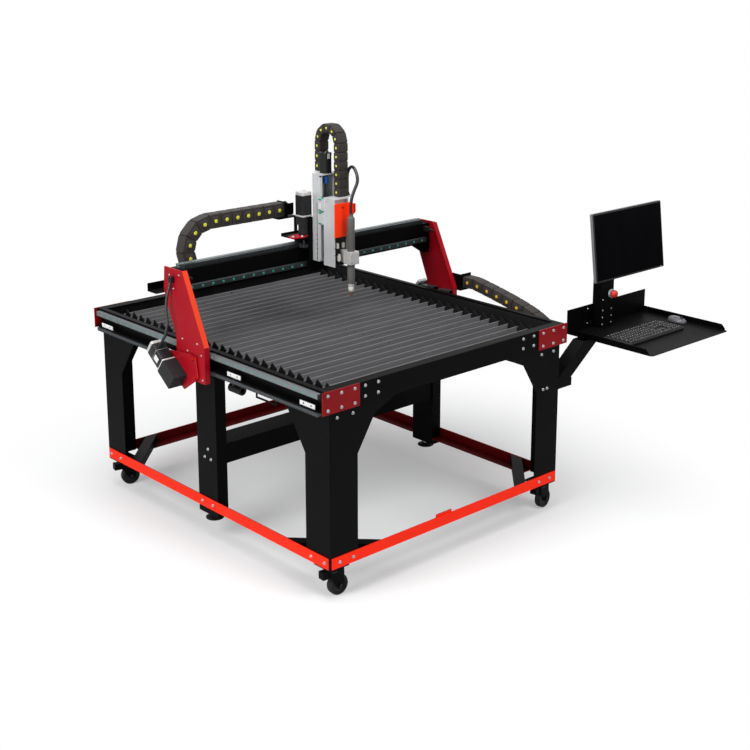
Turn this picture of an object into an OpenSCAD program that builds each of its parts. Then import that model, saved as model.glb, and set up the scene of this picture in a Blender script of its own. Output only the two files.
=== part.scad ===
// Plasma cutting table with a gantry, a water pan, and an operator's station on an arm.
// Millimetres, Z up, origin on the floor at the middle of the table.

/* [Table] */
// Width over the legs
table_w = 1500; // [1400:10:1700]
// Length over the legs
table_l = 1800; // [1700:10:2200]
// Height of the table's top edge
table_h = 978; // [960:1:1010]
// Thickness of the folded plates
plate_t = 5; // [4:0.5:6]
// Depth of the end beams
beam_h = 100; // [94:1:110]
// Width of a leg's wing
wing_w = 162; // [140:1:180]
// Height of the lower rails
rail_h = 52; // [40:1:60]
// Inward width of the lower rails' foot
rail_foot = 70; // [50:1:90]
// Lower rails above the floor
rail_z = 157; // [152:1:180]
// Depth of the water pan
pan_h = 90; // [84:1:94]
// Number of slats
slat_n = 27; // [15:2:33]
// Thickness of a slat
slat_t = 4; // [2:0.5:6]

/* [Casters and feet] */
// Caster wheel diameter
wheel_d = 98; // [84:1:102]
// Caster wheel width
wheel_w = 36; // [28:1:40]
// Leveling foot diameter
foot_d = 88; // [70:1:100]

/* [Gantry] */
// Gantry plates above the table's top edge
gantry_rise = 357; // [330:1:400]
// Height of the gantry beam
gbeam_h = 110; // [100:1:120]
// Depth of the gantry beam
gbeam_d = 90; // [80:1:100]
// Thickness of the gantry plates
gplate_t = 6; // [4:0.5:8]
// Pitch of the rack teeth
rack_p = 10; // [9:0.5:12]
// Number of pinion teeth
pinion_n = 13; // [12:1:14]
// Angle of the side motors above level
drive_a = 37; // [25:1:45]
// Section of the side gearboxes
gear_w = 78; // [66:1:84]
// Section of the side motors
drive_motor_w = 70; // [60:1:71]
// Section of the carriage motors
motor_w = 60; // [50:1:64]

/* [Torch lift] */
// Width of the lift channel
lift_w = 100; // [90:1:110]
// Length of the lift channel
lift_l = 440; // [400:1:480]
// Torch body diameter
torch_d = 38; // [30:1:42]
// Lead screw diameter
screw_d = 16; // [12:1:20]

/* [Station] */
// Width of the station tray
tray_w = 655; // [600:5:720]
// Depth of the station tray
tray_d = 535; // [500:5:600]
// Height of the station tray's floor
tray_h = 850; // [830:1:880]
// Screen width
screen_w = 565; // [480:5:620]
// Screen height
screen_h = 352; // [300:1:380]
// Backward lean of the screen
screen_a = 7; // [0:1:12]

/* [Hidden] */

// Fits
slide_fit = 0.3;
turn_fit = 0.05;
seat_fit = 0.2;
link_gap = 0.5;
over = 1;
bore_fn = 32;

// Table frame
hw = table_w / 2;
hl = table_l / 2;
leg_drop = 3;
leg_z0 = rail_z - leg_drop;
beam_z0 = table_h - beam_h;
leg_z1 = table_h - 2 * plate_t;
flare_low = 223;
flare_mid = 60;
flare_in1 = 101;
flare_in2 = 237;
side_flare_in = 138;
side_flare_low = 222;
side_flare_high = 17;
top_lip = 45;
plate_len = 210;
plate_tall = 102;
plate_past = 43;
rail_t = 5;
rail_gap = 8;
rail_cope = 3;
splice_l = 100;
splice_up = 12;
brace_reach = 300;
brace_w = 75;
brace_t = 5;
mid_w = 155;
mid_flange = 60;
mid_z0 = 125;
mid_foot_t = 8;
mid_top = 4;
cross_z1 = 490;
cross_h = 100;
cross_w = 140;
pan_t = 3;
pan_drop = 8;

// Side beams, racks and rails along the table
side_box_w = 26;
side_box_h = 50;
side_box_t = 4;
side_low = 96;
side_lip_w = 36;
side_lip_t = 6;
strap_y0 = 400;
strap_y1 = 550;
strap_h = 62;
strap_w = 8;
guide_w = 24;
guide_h = 20;
guide_drop = 10;
guide_short = 20;
rack_w = 20;
rack_bar = 12;
tooth_add = 2.4;
tooth_ded = 3;
tooth_share = 0.2;
tip_share = 0.11;
root_share = 0.29;
rack_short = 20;
clamp_l = 100;
clamp_h = 20;
clamp_t = 4;
clamp_in = 4;

// Slats and combs
slat_bed = 5;
slat_h = 52;
slat_past = 8;
slat_end = 74;
comb_in = 90;
comb_t = 3;
comb_up = 48;
comb_tip = 77;
comb_lean_share = 0.72;
slot_w = slat_t + 2 * slide_fit;
slat_hole_d = 10;
slat_hole_x = 20;
slat_hole_down = 12;
slat_p = (table_l - 2 * slat_end) / (slat_n - 1);
pan_z1 = table_h - pan_drop;
pan_z0 = pan_z1 - pan_h;
slat_z0 = pan_z0 + pan_t + slat_bed;
slat_z1 = slat_z0 + slat_h;

// Drain
drain_x = 530;
drain_y = 58;
drain_d = 34;
drain_bore = 24;
drain_low = 183;
drain_body_d = 46;
drain_y0 = 34;
drain_y1 = 56;
drain_flange_d = 64;
drain_flange_t = 6;

// Bolts
bolt_d = 15;
bolt_h = 6;

// Casters and feet
caster_sq = 110;
caster_t = 6;
caster_x = hw - caster_sq / 2;
caster_y = hl - caster_sq / 2;
hub_d = 46;
hub_h = 8;
fork_top_z = leg_z0 - caster_t - hub_h - slide_fit;
fork_disc_h = 12;
fork_t = 6;
king_d = 12;
king_head_d = 22;
king_head_h = 6;
fork_gap = 1.5;
cheek_t = 4;
cheek_w = 44;
trail = 30;
axle_d = 10;
axle_head = 5;
axle_head_d = 18;
brake_h = 34;
brake_off = 36;
wheel_r = wheel_d / 2;
wheel_hub_d = 30;
wheel_chamfer = 5;
wheel_rim = 10;
wheel_dish = 4;
wheel_fn = 40;
fork_in = wheel_w / 2 + fork_gap;
fork_bridge_z0 = fork_top_z - fork_disc_h - fork_t;
front_left_a = -5;
front_right_a = 8;
back_left_a = -12;
back_right_a = 6;
foot_x = hw - plate_t - mid_flange / 2;
foot_raise = 28;
foot_t = 14;
foot_rim = 6;
foot_neck_d = 36;
stud_d = 16;
stud_up = 130;
nut_d = 27;
nut_h = 12;

// Gantry, at rest above the middle of the table
gp_drop = 153;
gp_z0 = table_h - gp_drop;
gp_knee_up = 22;
gp_knee = table_h + gp_knee_up;
gp_back_knee_up = 29;
gp_back_knee = table_h + gp_back_knee_up;
gp_back_drop = 48;
gp_back_low = table_h - gp_back_drop;
gp_z1 = table_h + gantry_rise;
gp_front = -115;
gp_foot = -40;
gp_back = 110;
gp_top0 = 45;
gp_top1 = 190;
gp_bump = 200;
gp_bump_drop = 113;
gp_bump_z = gp_z1 - gp_bump_drop;
gp_flange = 22;
gp_flange_t = 5;
gp_flange_run = 5.5;
guide_x0 = hw + side_box_w;
guide_x1 = guide_x0 + guide_h;
block_l = 74;
block_h = 52;
block_y = 60;
block_lift = 6;
block_over = 26;
gp_x0 = guide_x1 + block_over;
gp_x1 = gp_x0 + gplate_t;
guide_z1 = table_h - guide_drop;
guide_z0 = guide_z1 - guide_w;
guide_zc = (guide_z0 + guide_z1) / 2;
beam_y0 = 95;
beam_y1 = beam_y0 + gbeam_d;
beam_top_drop = 10;
beam_top = gp_z1 - beam_top_drop;
beam_bot = beam_top - gbeam_h;
gbeam_t = 4;
gusset_l = 130;
gusset_h = 50;
stop_l = 30;
stop_h = 34;
stop_in = 30;
stop_w = 16;
bracket_t = 4;
hang_t = 6;
hang_low = 8;
hang_z0 = table_h + hang_low;
hang_high = 97;
hang_z1 = table_h + hang_high;
hang_y0 = -141;
hang_y1 = -60;
hang_out = 80;
hang_x1 = gp_x1 + hang_out;
pin_bolt_d = 14;
pin_bolt_h = 7;

// Rack and pinion
pinion_r = rack_p * pinion_n / 360 * (180 / PI);
side_rack_x0 = guide_x0;
side_rack_x1 = side_rack_x0 + rack_w;
side_z0 = table_h - side_low;
side_pitch_z = side_z0 - rack_bar - tooth_ded;
drive_y = 80;
drive_z = side_pitch_z - pinion_r;
pinion_w = 18;
pinion_side = 1;
shaft_d = 14;
pivot_gap = 6;
pivot_x0 = gp_x1 + pivot_gap;
pivot_t = 6;
pivot_x1 = pivot_x0 + pivot_t;
shaft_in = 36;
pivot_y = -36;
pivot_drop = 44;
pivot_z = table_h - pivot_drop;
spring_y = -50;
spring_up = 24;
spring_z = gp_z0 + spring_up;
pivot_hole_d = 30;
pivot_boss_d = 26;
pivot_ear = 20;
gear_x = 75;
gear_l = 110;
gear_flange_t = 8;
gear_flange_over = 2;
motor_l = 100;
motor_cap = 16;
conduit_d = 14;
conduit_sides = 10;
conduit_steps = 5;
plug_share = 0.8;
plug_h = 10;
plug_d = 22;
plug_run = 75;
clip_l = 20;
clip_y0 = 108;
clip_y1 = 132;
clip_z0 = 64;
clip_z1 = 36;
x_rack_back = 124;
x_rack_y0 = x_rack_back - rack_bar;
x_pitch_y = x_rack_y0 - tooth_ded;
x_pin_y = x_pitch_y - pinion_r;
x_pin_x = -65;
x_rail_drop = 85;
x_rail_z0 = beam_top - x_rail_drop - guide_w / 2;
x_rail_z1 = x_rail_z0 + guide_w;
x_rail_short = 40;
top_rail_y = 152;
x_block_l = 60;
x_block_w = 50;
x_block_a = -25;
x_block_b = 55;
x_block_t = 32;
cp_t = 6;
cp_space = 17;
cp_y1 = beam_y0 - guide_h - cp_space;
cp_y0 = cp_y1 - cp_t;
cp_x0 = -60;
cp_x1 = 95;
cp_low = 10;
cp_z0 = beam_bot - cp_low;
cp_high = 157;
cp_z1 = beam_top + cp_high;
top_up = 47;
top_z0 = beam_top + top_up;
top_t = 8;
top_x0 = -125;
top_y1 = 196;
pinion_hole_d = 40;
chain_post_x = -84;
chain_post_t = 6;
chain_post_y1 = 270;
chain_post_up = 216;
chain_post_z1 = beam_top + chain_post_up;
chain_end_l = 50;
chain_end_h = 58;
shelf_l = 60;
prop_x1 = -24;
prop_w = 14;
shelf_drop = 42;
red_t = 6;
red_w = 100;
red_shares = [[-0.95, -0.28], [-0.35, -0.42], [0, -0.29], [0.33, -0.29], [0.33, 0.22], [-0.25, 0.36],
    [-0.9, 0.12]];
red_gap = 4;
head_d = 56;
head_h = 94;
x_flange_t = 8;
x_motor_l = 99;
x_motor_cap = 16;
x_shaft_d = 12;
x_shaft_in = 30;

// Chains: centre lines, links and trays
x_chain_y = 238;
x_chain_w = 64;
x_chain_h = 70;
x_chain_up = 177;
x_chain_top = beam_top + x_chain_up;
shelf_z0 = x_chain_top - shelf_drop;
x_chain_r = 130;
x_chain_bend = -545;
x_chain_end = 20;
x_tray_y0 = 202;
x_tray_y1 = 275;
x_tray_t = 3;
x_tray_lip = 36;
x_tray_x0 = -870;
x_tray_x1 = 60;
x_tray_arm = 40;
x_tray_arm_share = [0.2, 0.5, 0.9];
y_chain_out = 46;
y_chain_x = gp_x1 + y_chain_out;
y_chain_w = 66;
y_chain_h = 58;
y_chain_pitch = 72;
y_chain_up = 55;
y_chain_sag = [10, 11, 12, 13, 15, 18];
y_chain_round = [26, 50, 90, 130, 165];
y_chain_flat = 10;
y_chain_heads = 3;
y_chain_clear = 5;
y_tray_t = 3;
y_tray_lip = 24;
y_tray_in = 200;
y_tray_y0 = -hl + y_tray_in;
y_tray_y1 = 120;
y_arm_w = 40;
y_arm_t = 6;
y_arm_in = 150;
y_arm_front = -hl + y_arm_in;
z_chain_x = 53;
z_chain_w = 62;
z_chain_h = 40;
z_chain_y0 = -60;
z_chain_y1 = 85;
z_chain_r = (z_chain_y1 - z_chain_y0) / 2;
z_chain_up = 528;
z_chain_bend = beam_top + z_chain_up;

// Torch lift
lift_x = 13;
lift_x0 = lift_x - lift_w / 2;
lift_x1 = lift_x + lift_w / 2;
lift_t = 5;
lift_d = 50;
lift_y1 = cp_y0;
lift_y0 = lift_y1 - lift_d;
lift_low = 63;
lift_z0 = beam_top - lift_low;
lift_z1 = lift_z0 + lift_l;
lift_cap = 6;
lift_cap_back = 108;
lift_cap_right = 28;
lift_cap_front = 18;
lift_seat = 16;
z_rail_w = 12;
z_rail_h = 12;
z_rail_short = 10;
screw_y = 8;
coupling_d = 30;
coupling_h = 35;
coupling_down = 10;
screw_up = 20;
z_motor_w = 46;
z_motor_l = 88;
z_motor_cap = 15;
slide_space = 18;
slide_y1 = lift_y0 - z_rail_h - slide_space;
slide_y0 = -109;
slide_t = 5;
slide_set = 20;
slide_in = 3;
slide_x0 = lift_x0 + slide_in;
slide_x1 = lift_x1 - slide_in;
slide_low = 12;
slide_z0 = lift_z0 - slide_low;
slide_l = 340;
slide_z1 = slide_z0 + slide_l;
z_block_w = 30;
z_block_l = 60;
z_block_low = 205;
z_block_high = 272;
nut_w = 42;
nut_tall = 26;
nut_up = 172;
nut_z = slide_z0 + nut_up;
nut_past = 18;
torch_x = 32;
torch_y = -157;
torch_low = 158;
torch_z0 = beam_top - torch_low;
torch_high = 193;
torch_z1 = beam_top + torch_high;
torch_neck_d = 28;
torch_neck_h = 37;
torch_tip_d = 12;
torch_tip_h = 30;
hold_x0 = 5;
hold_x1 = 59;
hold_y0 = -186;
hold_low = 57;
hold_z0 = beam_top - hold_low;
hold_h = 64;
hold_y1 = -132;
hold_neck_x = 20;
hold_neck_w = 24;
hand_low = 74;
hand_z0 = beam_top + hand_low;
hand_high = 242;
hand_z1 = beam_top + hand_high;
hand_in = 24;
hand_taper = 80;
hand_t = 5;
hand_out = 48;
hand_deep = 40;
lead_d = 16;
lead_steps = 5;
gland_d = 26;
gland_h = 14;
gland_x = 99;
gland_y = -55;
gland_edge = 3;

// Station
tray_gap = 235;
tray_x0 = hw + tray_gap;
tray_x1 = tray_x0 + tray_w;
tray_in = 150;
tray_y1 = -hl + tray_in;
tray_y0 = tray_y1 - tray_d;
tray_t = 3;
tray_lip = 28;
tray_r = 20;
tray_fn = 32;
panel_up = 122;
arm_in = 2;
arm_w = 72;
arm_y0 = -hl + arm_in;
arm_y1 = arm_y0 + arm_w;
arm_drop = 212;
arm_under = 60;
arm_plate_h = 162;
arm_plate_z1 = min(side_z0 - arm_under, tray_h - arm_drop + arm_plate_h);
arm_plate_z0 = arm_plate_z1 - arm_plate_h;
arm_plate_t = 6;
arm_block_h = 42;
arm_block_z1 = arm_plate_z0 + arm_block_h;
arm_block_l = 105;
arm_block_x1 = hw + arm_block_l;
arm_foot_l = 98;
arm_foot_x1 = hw + arm_foot_l;
arm_head_in = 39;
arm_head_x0 = tray_x0 - arm_head_in;
arm_head_l = 124;
arm_head_x1 = arm_head_x0 + arm_head_l;
arm_heel = 16;
tube_t = 4;
post_in = 251;
post_x = tray_x0 + post_in;
post_w = 100;
post_d = 57;
post_t = 4;
post_h = 400;
post_z1 = tray_h + post_h;
ear_t = 10;
ear_gap = 44;
ear_w = 40;
ear_up = 72;
hinge_up = 54;
hinge_d = 12;
hinge_pin_head = 4;
lug_d = 34;
lug_side = 0.5;
screen_t = 22;
screen_back = 72;
screen_off = 54;
screen_box = 180;
screen_box_t = 16;
screen_rim = 9;
screen_set = 2;
estop_off = 25;
estop_x = post_x + estop_off;
estop_up = 177;
estop_z = tray_h + estop_up;
estop_d = 40;
estop_cap_h = 20;
estop_neck = 8;
collar_d = 46;
collar_h = 12;
stem_d = 16;
stem_in = 26;
key_in = 60;
key_x0 = tray_x0 + key_in;
key_w = 450;
key_front = 170;
key_y0 = tray_y0 + key_front;
key_d = 175;
key_base = 14;
key_rows = 6;
key_cols = 18;
key_gap = 3;
key_tall = 6;
key_edge = 8;
mouse_in = 50;
mouse_x = tray_x1 - mouse_in;
mouse_front = 280;
mouse_y = tray_y0 + mouse_front;
mouse_w = 60;
mouse_l = 105;
mouse_h = 34;
mouse_taper_share = 0.62;
mouse_fn = 32;

// Shared helpers
module box(x0, x1, y0, y1, z0, z1) {
    translate([x0, y0, z0]) cube([x1 - x0, y1 - y0, z1 - z0]);
}

module xz_plate(pts, y0, y1) {
    translate([0, y1, 0]) rotate([90, 0, 0]) linear_extrude(height = y1 - y0) polygon(pts);
}

module yz_plate(pts, x0, x1) {
    translate([x0, 0, 0]) rotate([90, 0, 90]) linear_extrude(height = x1 - x0) polygon(pts);
}

module both_sides() {
    children();
    mirror([1, 0, 0]) children();
}

module both_ends() {
    children();
    mirror([0, 1, 0]) children();
}

module x_rod(x0, x1, y, z, d) {
    translate([x0, y, z]) rotate([0, 90, 0]) cylinder(h = x1 - x0, d = d, $fn = bore_fn);
}

module y_rod(x, y0, y1, z, d) {
    translate([x, y1, z]) rotate([90, 0, 0]) cylinder(h = y1 - y0, d = d, $fn = bore_fn);
}

module z_rod(x, y, z0, z1, d) {
    translate([x, y, z0]) cylinder(h = z1 - z0, d = d, $fn = bore_fn);
}

module y_bolt(x, z, y, s) {
    translate([x, y, z]) rotate([s * 90, 0, 0]) cylinder(h = bolt_h, d = bolt_d, $fn = 6);
}

module x_bolt(y, z, x, s) {
    translate([x, y, z]) rotate([0, s * 90, 0]) cylinder(h = bolt_h, d = bolt_d, $fn = 6);
}

// Links along a row of pins: mitred sides, a small gap between neighbours
function unit(v) = v / norm(v);
function turn(v) = [-v[1], v[0]];
function pin_dir(p, i) = i == 0 ? unit(p[1] - p[0])
    : i == len(p) - 1 ? unit(p[i] - p[i - 1])
    : unit(unit(p[i + 1] - p[i]) + unit(p[i] - p[i - 1]));
function pin_side(p, i, h) = turn(pin_dir(p, i)) * h / 2
    / (i == 0 || i == len(p) - 1 ? 1 : pin_dir(p, i) * unit(p[i + 1] - p[i]));
function link_pts(p, i, h) = let (m = unit(p[i + 1] - p[i]) * link_gap / 2)
    [p[i] + pin_side(p, i, h) + m, p[i] - pin_side(p, i, h) + m,
     p[i + 1] - pin_side(p, i + 1, h) - m, p[i + 1] + pin_side(p, i + 1, h) - m];
function run_pins(a, b, n) = [for (i = [0 : n]) a + (b - a) * i / n];
function bend_pins(c, r, a0, a1, n) = [for (i = [1 : n - 1]) let (a = a0 + (a1 - a0) * i / n)
    c + r * [cos(a), sin(a)]];

x_chain_c = [x_chain_bend, x_chain_top - x_chain_r];
x_chain_low = x_chain_top - 2 * x_chain_r;
// The Y chain's sagging run takes as many links as fit between its hanger and the station arm
y_sags = len(y_chain_sag);
y_sag_room = hang_y0 - arm_y1 - y_chain_h / 2 - y_chain_clear;
y_sag_n = min(y_sags, floor(y_sag_room / y_chain_pitch - y_chain_heads));
y_chain_turns = concat([0], [for (i = [y_sags - y_sag_n : 1 : y_sags - 1]) y_chain_sag[i]], y_chain_round,
    [for (i = [1 : 1 : y_chain_flat - y_sags + y_sag_n]) 180]);
function turn_pins(p, turns, i) = i == len(turns) ? [p]
    : concat([p], turn_pins(p - y_chain_pitch * [cos(turns[i]), sin(turns[i])], turns, i + 1));
y_chain_pins = turn_pins([hang_y0 - slide_fit, table_h + y_chain_up], y_chain_turns, 0);
y_chain_low = y_chain_pins[len(y_chain_pins) - 1][1];
x_runs = 7;
x_bends = 6;
x_lows = 8;
x_chain_pins = concat(
    run_pins([chain_post_x - chain_post_t, x_chain_top], [x_chain_bend, x_chain_top], x_runs),
    bend_pins(x_chain_c, x_chain_r, 90, 270, x_bends),
    run_pins([x_chain_bend, x_chain_low], [x_chain_end, x_chain_low], x_lows));
z_runs = 6;
z_bends = 5;
z_backs = 3;
z_chain_c = [z_chain_y0 + z_chain_r, z_chain_bend];
z_chain_pins = concat(
    run_pins([z_chain_y0, slide_z1], [z_chain_y0, z_chain_bend], z_runs),
    bend_pins(z_chain_c, z_chain_r, 180, 0, z_bends),
    run_pins([z_chain_y1, z_chain_bend], [z_chain_y1, lift_z1], z_backs));

// Round cords swept along a smooth route that stays near one plane of constant X
function cr(p, i, t) = let (a = p[max(i - 1, 0)], b = p[i], c = p[i + 1], d = p[min(i + 2, len(p) - 1)])
    0.5 * (2 * b + (c - a) * t + (2 * a - 5 * b + 4 * c - d) * t * t + (3 * b - a - 3 * c + d) * t * t * t);
function smooth(p, n) = concat([for (i = [0 : len(p) - 2]) for (k = [0 : n - 1]) cr(p, i, k / n)],
    [p[len(p) - 1]]);
function route_dir(q, i) = unit(q[min(i + 1, len(q) - 1)] - q[max(i - 1, 0)]);
function ring(q, i, r, n) = let (t = route_dir(q, i), u = unit(cross([1, 0, 0], t)), v = cross(t, u))
    [for (k = [0 : n - 1]) q[i] + r * (cos(360 * k / n) * u + sin(360 * k / n) * v)];

module cord(route, d, n, steps) {
    q = smooth(route, steps);
    m = len(q);
    pts = [for (i = [0 : m - 1]) each ring(q, i, d / 2, n)];
    sides = [for (i = [0 : m - 2]) for (k = [0 : n - 1])
        [i * n + k, (i + 1) * n + k, (i + 1) * n + (k + 1) % n, i * n + (k + 1) % n]];
    first = [for (k = [0 : n - 1]) k];
    last = [for (k = [n - 1 : -1 : 0]) (m - 1) * n + k];
    polyhedron(points = pts, faces = concat(sides, [first], [last]), convexity = 4);
}

// Rack outline: bar above the pitch line, teeth below it, a gap centred on the mating pinion
function rack_tooth(c) = [[c - rack_p * root_share, tooth_ded], [c - rack_p * tip_share, -tooth_add],
    [c + rack_p * tip_share, -tooth_add], [c + rack_p * root_share, tooth_ded]];
function rack_first(c, lo) = c + rack_p * (ceil((lo - c) / rack_p) + 0.5);
function rack_count(c, lo, hi) = floor((hi - rack_first(c, lo)) / rack_p);
function rack_pts(c, lo, hi) = concat([[lo, tooth_ded + rack_bar], [lo, tooth_ded]],
    [for (i = [0 : rack_count(c, lo, hi)]) each rack_tooth(rack_first(c, lo) + i * rack_p)],
    [[hi, tooth_ded], [hi, tooth_ded + rack_bar]]);
// Pinion outline, one tooth along +Y
function polar(r, a, w) = let (b = a + w / r * 180 / PI) [r * sin(b), r * cos(b)];
function gear_tooth(a) = [polar(pinion_r - tooth_ded, a, -rack_p * root_share),
    polar(pinion_r, a, -rack_p * tooth_share), polar(pinion_r + tooth_add, a, -rack_p * tip_share),
    polar(pinion_r + tooth_add, a, rack_p * tip_share), polar(pinion_r, a, rack_p * tooth_share),
    polar(pinion_r - tooth_ded, a, rack_p * root_share)];
gear_pts = [for (i = [0 : pinion_n - 1]) each gear_tooth(i * 360 / pinion_n)];

// Table
module corner_leg() {
    front = [[-hw, leg_z0], [-hw + wing_w, leg_z0], [-hw + wing_w, beam_z0 - flare_low],
        [-hw + wing_w + flare_in1, beam_z0 - flare_mid], [-hw + wing_w + flare_in2, beam_z0],
        [-hw + wing_w + flare_in2, leg_z1], [-hw, leg_z1]];
    side = [[-hl, leg_z0], [-hl + wing_w, leg_z0], [-hl + wing_w, beam_z0 - side_flare_low],
        [-hl + wing_w + side_flare_in, beam_z0 - side_flare_high], [-hl + wing_w + side_flare_in, leg_z1],
        [-hl, leg_z1]];
    xz_plate(front, -hl, -hl + plate_t);
    yz_plate(side, -hw, -hw + plate_t);
}

module mid_leg() {
    difference() {
        union() {
            box(hw - plate_t, hw, -mid_w / 2, mid_w / 2, mid_z0, leg_z1);
            both_ends() box(hw - mid_flange, hw, mid_w / 2 - plate_t, mid_w / 2, mid_z0, pan_z0 - mid_top);
            box(hw - mid_flange, hw - mid_flange + plate_t, -mid_w / 2, mid_w / 2, mid_z0, pan_z0 - mid_top);
            box(hw - mid_flange, hw, -mid_w / 2, mid_w / 2, mid_z0, mid_z0 + mid_foot_t);
        }
        box(hw - mid_flange - over, hw - mid_flange + plate_t + over, -cross_w / 2 - slide_fit,
            cross_w / 2 + slide_fit, cross_z1 - cross_h - slide_fit, cross_z1 + slide_fit);
        z_rod(foot_x, 0, mid_z0 - over, mid_z0 + mid_foot_t + over, stud_d + 2 * turn_fit);
    }
}

module legs() {
    color("#141416") {
        both_ends() both_sides() corner_leg();
        both_sides() mid_leg();
    }
}

module end_beams() {
    color("#141416") both_ends() {
        box(-hw, hw, -hl - plate_t, -hl, beam_z0, table_h);
        box(-hw, hw, -hl - plate_t, -hl + top_lip, table_h - plate_t, table_h);
    }
}

module side_channel() {
    z1 = table_h - side_box_h;
    outline = [[hw, side_z0], [hw + side_lip_w, side_z0], [hw + side_lip_w, side_z0 + side_lip_t],
        [hw + plate_t, side_z0 + side_lip_t], [hw + plate_t, z1], [hw + side_box_w, z1],
        [hw + side_box_w, table_h], [hw, table_h]];
    difference() {
        xz_plate(outline, -hl - plate_t, hl + plate_t);
        box(hw + side_box_t, hw + side_box_w - side_box_t, -hl - plate_t - over, hl + plate_t + over,
            z1 + side_box_t, table_h - side_box_t);
    }
}

module side_channels() {
    color("#141416") {
        both_sides() side_channel();
        difference() {
            box(-hw - plate_t, -hw, -strap_y1, -strap_y0, side_z0 - strap_h, side_z0);
            box(-hw - plate_t - over, -hw + over, -strap_y1 + strap_w, -strap_y0 - strap_w,
                side_z0 - strap_h + strap_w, side_z0 + over);
        }
    }
}

module corner_plates() {
    x1 = hw + plate_past;
    color("#9a1018") both_ends() both_sides()
        box(x1 - plate_len, x1, -hl - 2 * plate_t, -hl - plate_t, table_h - plate_tall, table_h);
}

module lower_rails() {
    x1 = hw - rail_gap;
    x2 = hw - wing_w - rail_cope;
    y1 = hl - rail_gap;
    y2 = hl - wing_w - rail_cope;
    y3 = mid_w / 2 + rail_cope;
    color("#e0261a") {
        both_ends() {
            box(-x1, x1, -hl - rail_t, -hl, rail_z, rail_z + rail_h);
            box(-x2, x2, -hl - rail_t, -hl + rail_foot - rail_t, rail_z, rail_z + rail_t);
            box(-splice_l, 0, -hl, -hl + rail_t, rail_z, rail_z + rail_h + splice_up);
        }
        both_sides() {
            box(-hw - rail_t, -hw, -y1, y1, rail_z, rail_z + rail_h);
            both_ends() box(-hw - rail_t, -hw + rail_foot - rail_t, -y2, -y3, rail_z, rail_z + rail_t);
        }
    }
}

module corner_braces() {
    z0 = rail_z + rail_t;
    z1 = rail_z + rail_h;
    near = -hw + rail_cope;
    low = -hl + rail_cope;
    plate = [[near, -hl + brace_reach - brace_w], [near, -hl + brace_reach],
        [-hw + brace_reach, low], [-hw + brace_reach - brace_w, low]];
    web = [[near, -hl + brace_reach - brace_t], [near, -hl + brace_reach],
        [-hw + brace_reach, low], [-hw + brace_reach - brace_t, low]];
    color("#141416") both_ends() both_sides() {
        translate([0, 0, z1 - brace_t]) linear_extrude(height = brace_t) polygon(plate);
        translate([0, 0, z0]) linear_extrude(height = z1 - z0 - over) polygon(web);
    }
}

module mid_cross_beam() {
    x1 = hw - plate_t;
    color("#141416") difference() {
        box(-x1, x1, -cross_w / 2, cross_w / 2, cross_z1 - cross_h, cross_z1);
        box(-x1 - over, x1 + over, -cross_w / 2 + plate_t, cross_w / 2 - plate_t,
            cross_z1 - cross_h - over, cross_z1 - plate_t);
    }
}

module side_linear_rails() {
    y1 = hl - guide_short;
    color("#c9ccd0") both_sides() box(guide_x0, guide_x1, -y1, y1, guide_z0, guide_z1);
}

module side_racks() {
    y1 = hl - rack_short;
    color("#b9bcc2") both_sides() translate([0, 0, side_pitch_z])
        yz_plate(rack_pts(drive_y, -y1, y1), side_rack_x0, side_rack_x1);
}

module rack_clamp_plates() {
    x1 = hw + side_lip_w;
    z0 = side_z0 + side_lip_t;
    ends_share = [-0.94, -0.36, 0.2, 0.84];
    color("#e8e8ea") both_sides() for (s = ends_share) difference() {
        box(x1 - clamp_in - clamp_t, x1 - clamp_in, s * hl, s * hl + clamp_l, z0, z0 + clamp_h);
        for (q = [1, 3]) x_rod(x1 - clamp_in - clamp_t - over, x1, s * hl + q * clamp_l / 4,
            z0 + clamp_h / 2, clamp_h / 2);
    }
}

function comb_slot(y) = let (w = slot_w / 2) [[y - w, slat_z0 + comb_up], [y - w, slat_z0], [y + w, slat_z0],
    [y + w, slat_z0 + comb_up]];
function comb_row(i) = let (y = -hl + slat_end + i * slat_p)
    concat(comb_slot(y), i < slat_n - 1 ? [[y + slat_p * comb_lean_share, slat_z0 + comb_tip]] : []);

module comb(x0) {
    y0 = -hl + slat_end - slat_bed - slot_w;
    z1 = slat_z0 + comb_up;
    teeth = [for (i = [0 : slat_n - 1]) each comb_row(i)];
    pts = concat([[y0, pan_z0 + pan_t], [y0, z1]], teeth, [[-y0, z1], [-y0, pan_z0 + pan_t]]);
    yz_plate(pts, x0, x0 + comb_t);
}

module slat_combs() {
    color("#101012") {
        comb(-hw + comb_in);
        comb(hw - comb_in - comb_t);
        box(slat_hole_x, slat_hole_x + comb_t, -hl + slat_end - slat_bed, hl - slat_end + slat_bed,
            pan_z0 + pan_t, slat_z0);
    }
}

module slats() {
    x1 = hw - comb_in + slat_past;
    color("#4a4b4e") for (i = [0 : slat_n - 1]) {
        y = -hl + slat_end + i * slat_p;
        difference() {
            box(-x1, x1, y - slat_t / 2, y + slat_t / 2, slat_z0, slat_z1);
            translate([slat_hole_x, y + slat_t / 2 + over, slat_z1 - slat_hole_down]) rotate([90, 0, 0])
                cylinder(h = slat_t + 2 * over, d = slat_hole_d, $fn = 16);
        }
    }
}

module water_pan() {
    x1 = hw - plate_t;
    y1 = hl - plate_t;
    color("#121214") difference() {
        box(-x1, x1, -y1, y1, pan_z0, pan_z1);
        box(-x1 + pan_t, x1 - pan_t, -y1 + pan_t, y1 - pan_t, pan_z0 + pan_t, pan_z1 + over);
        z_rod(-drain_x, drain_y, pan_z0 - over, pan_z0 + pan_t + over, drain_bore);
    }
}

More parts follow.
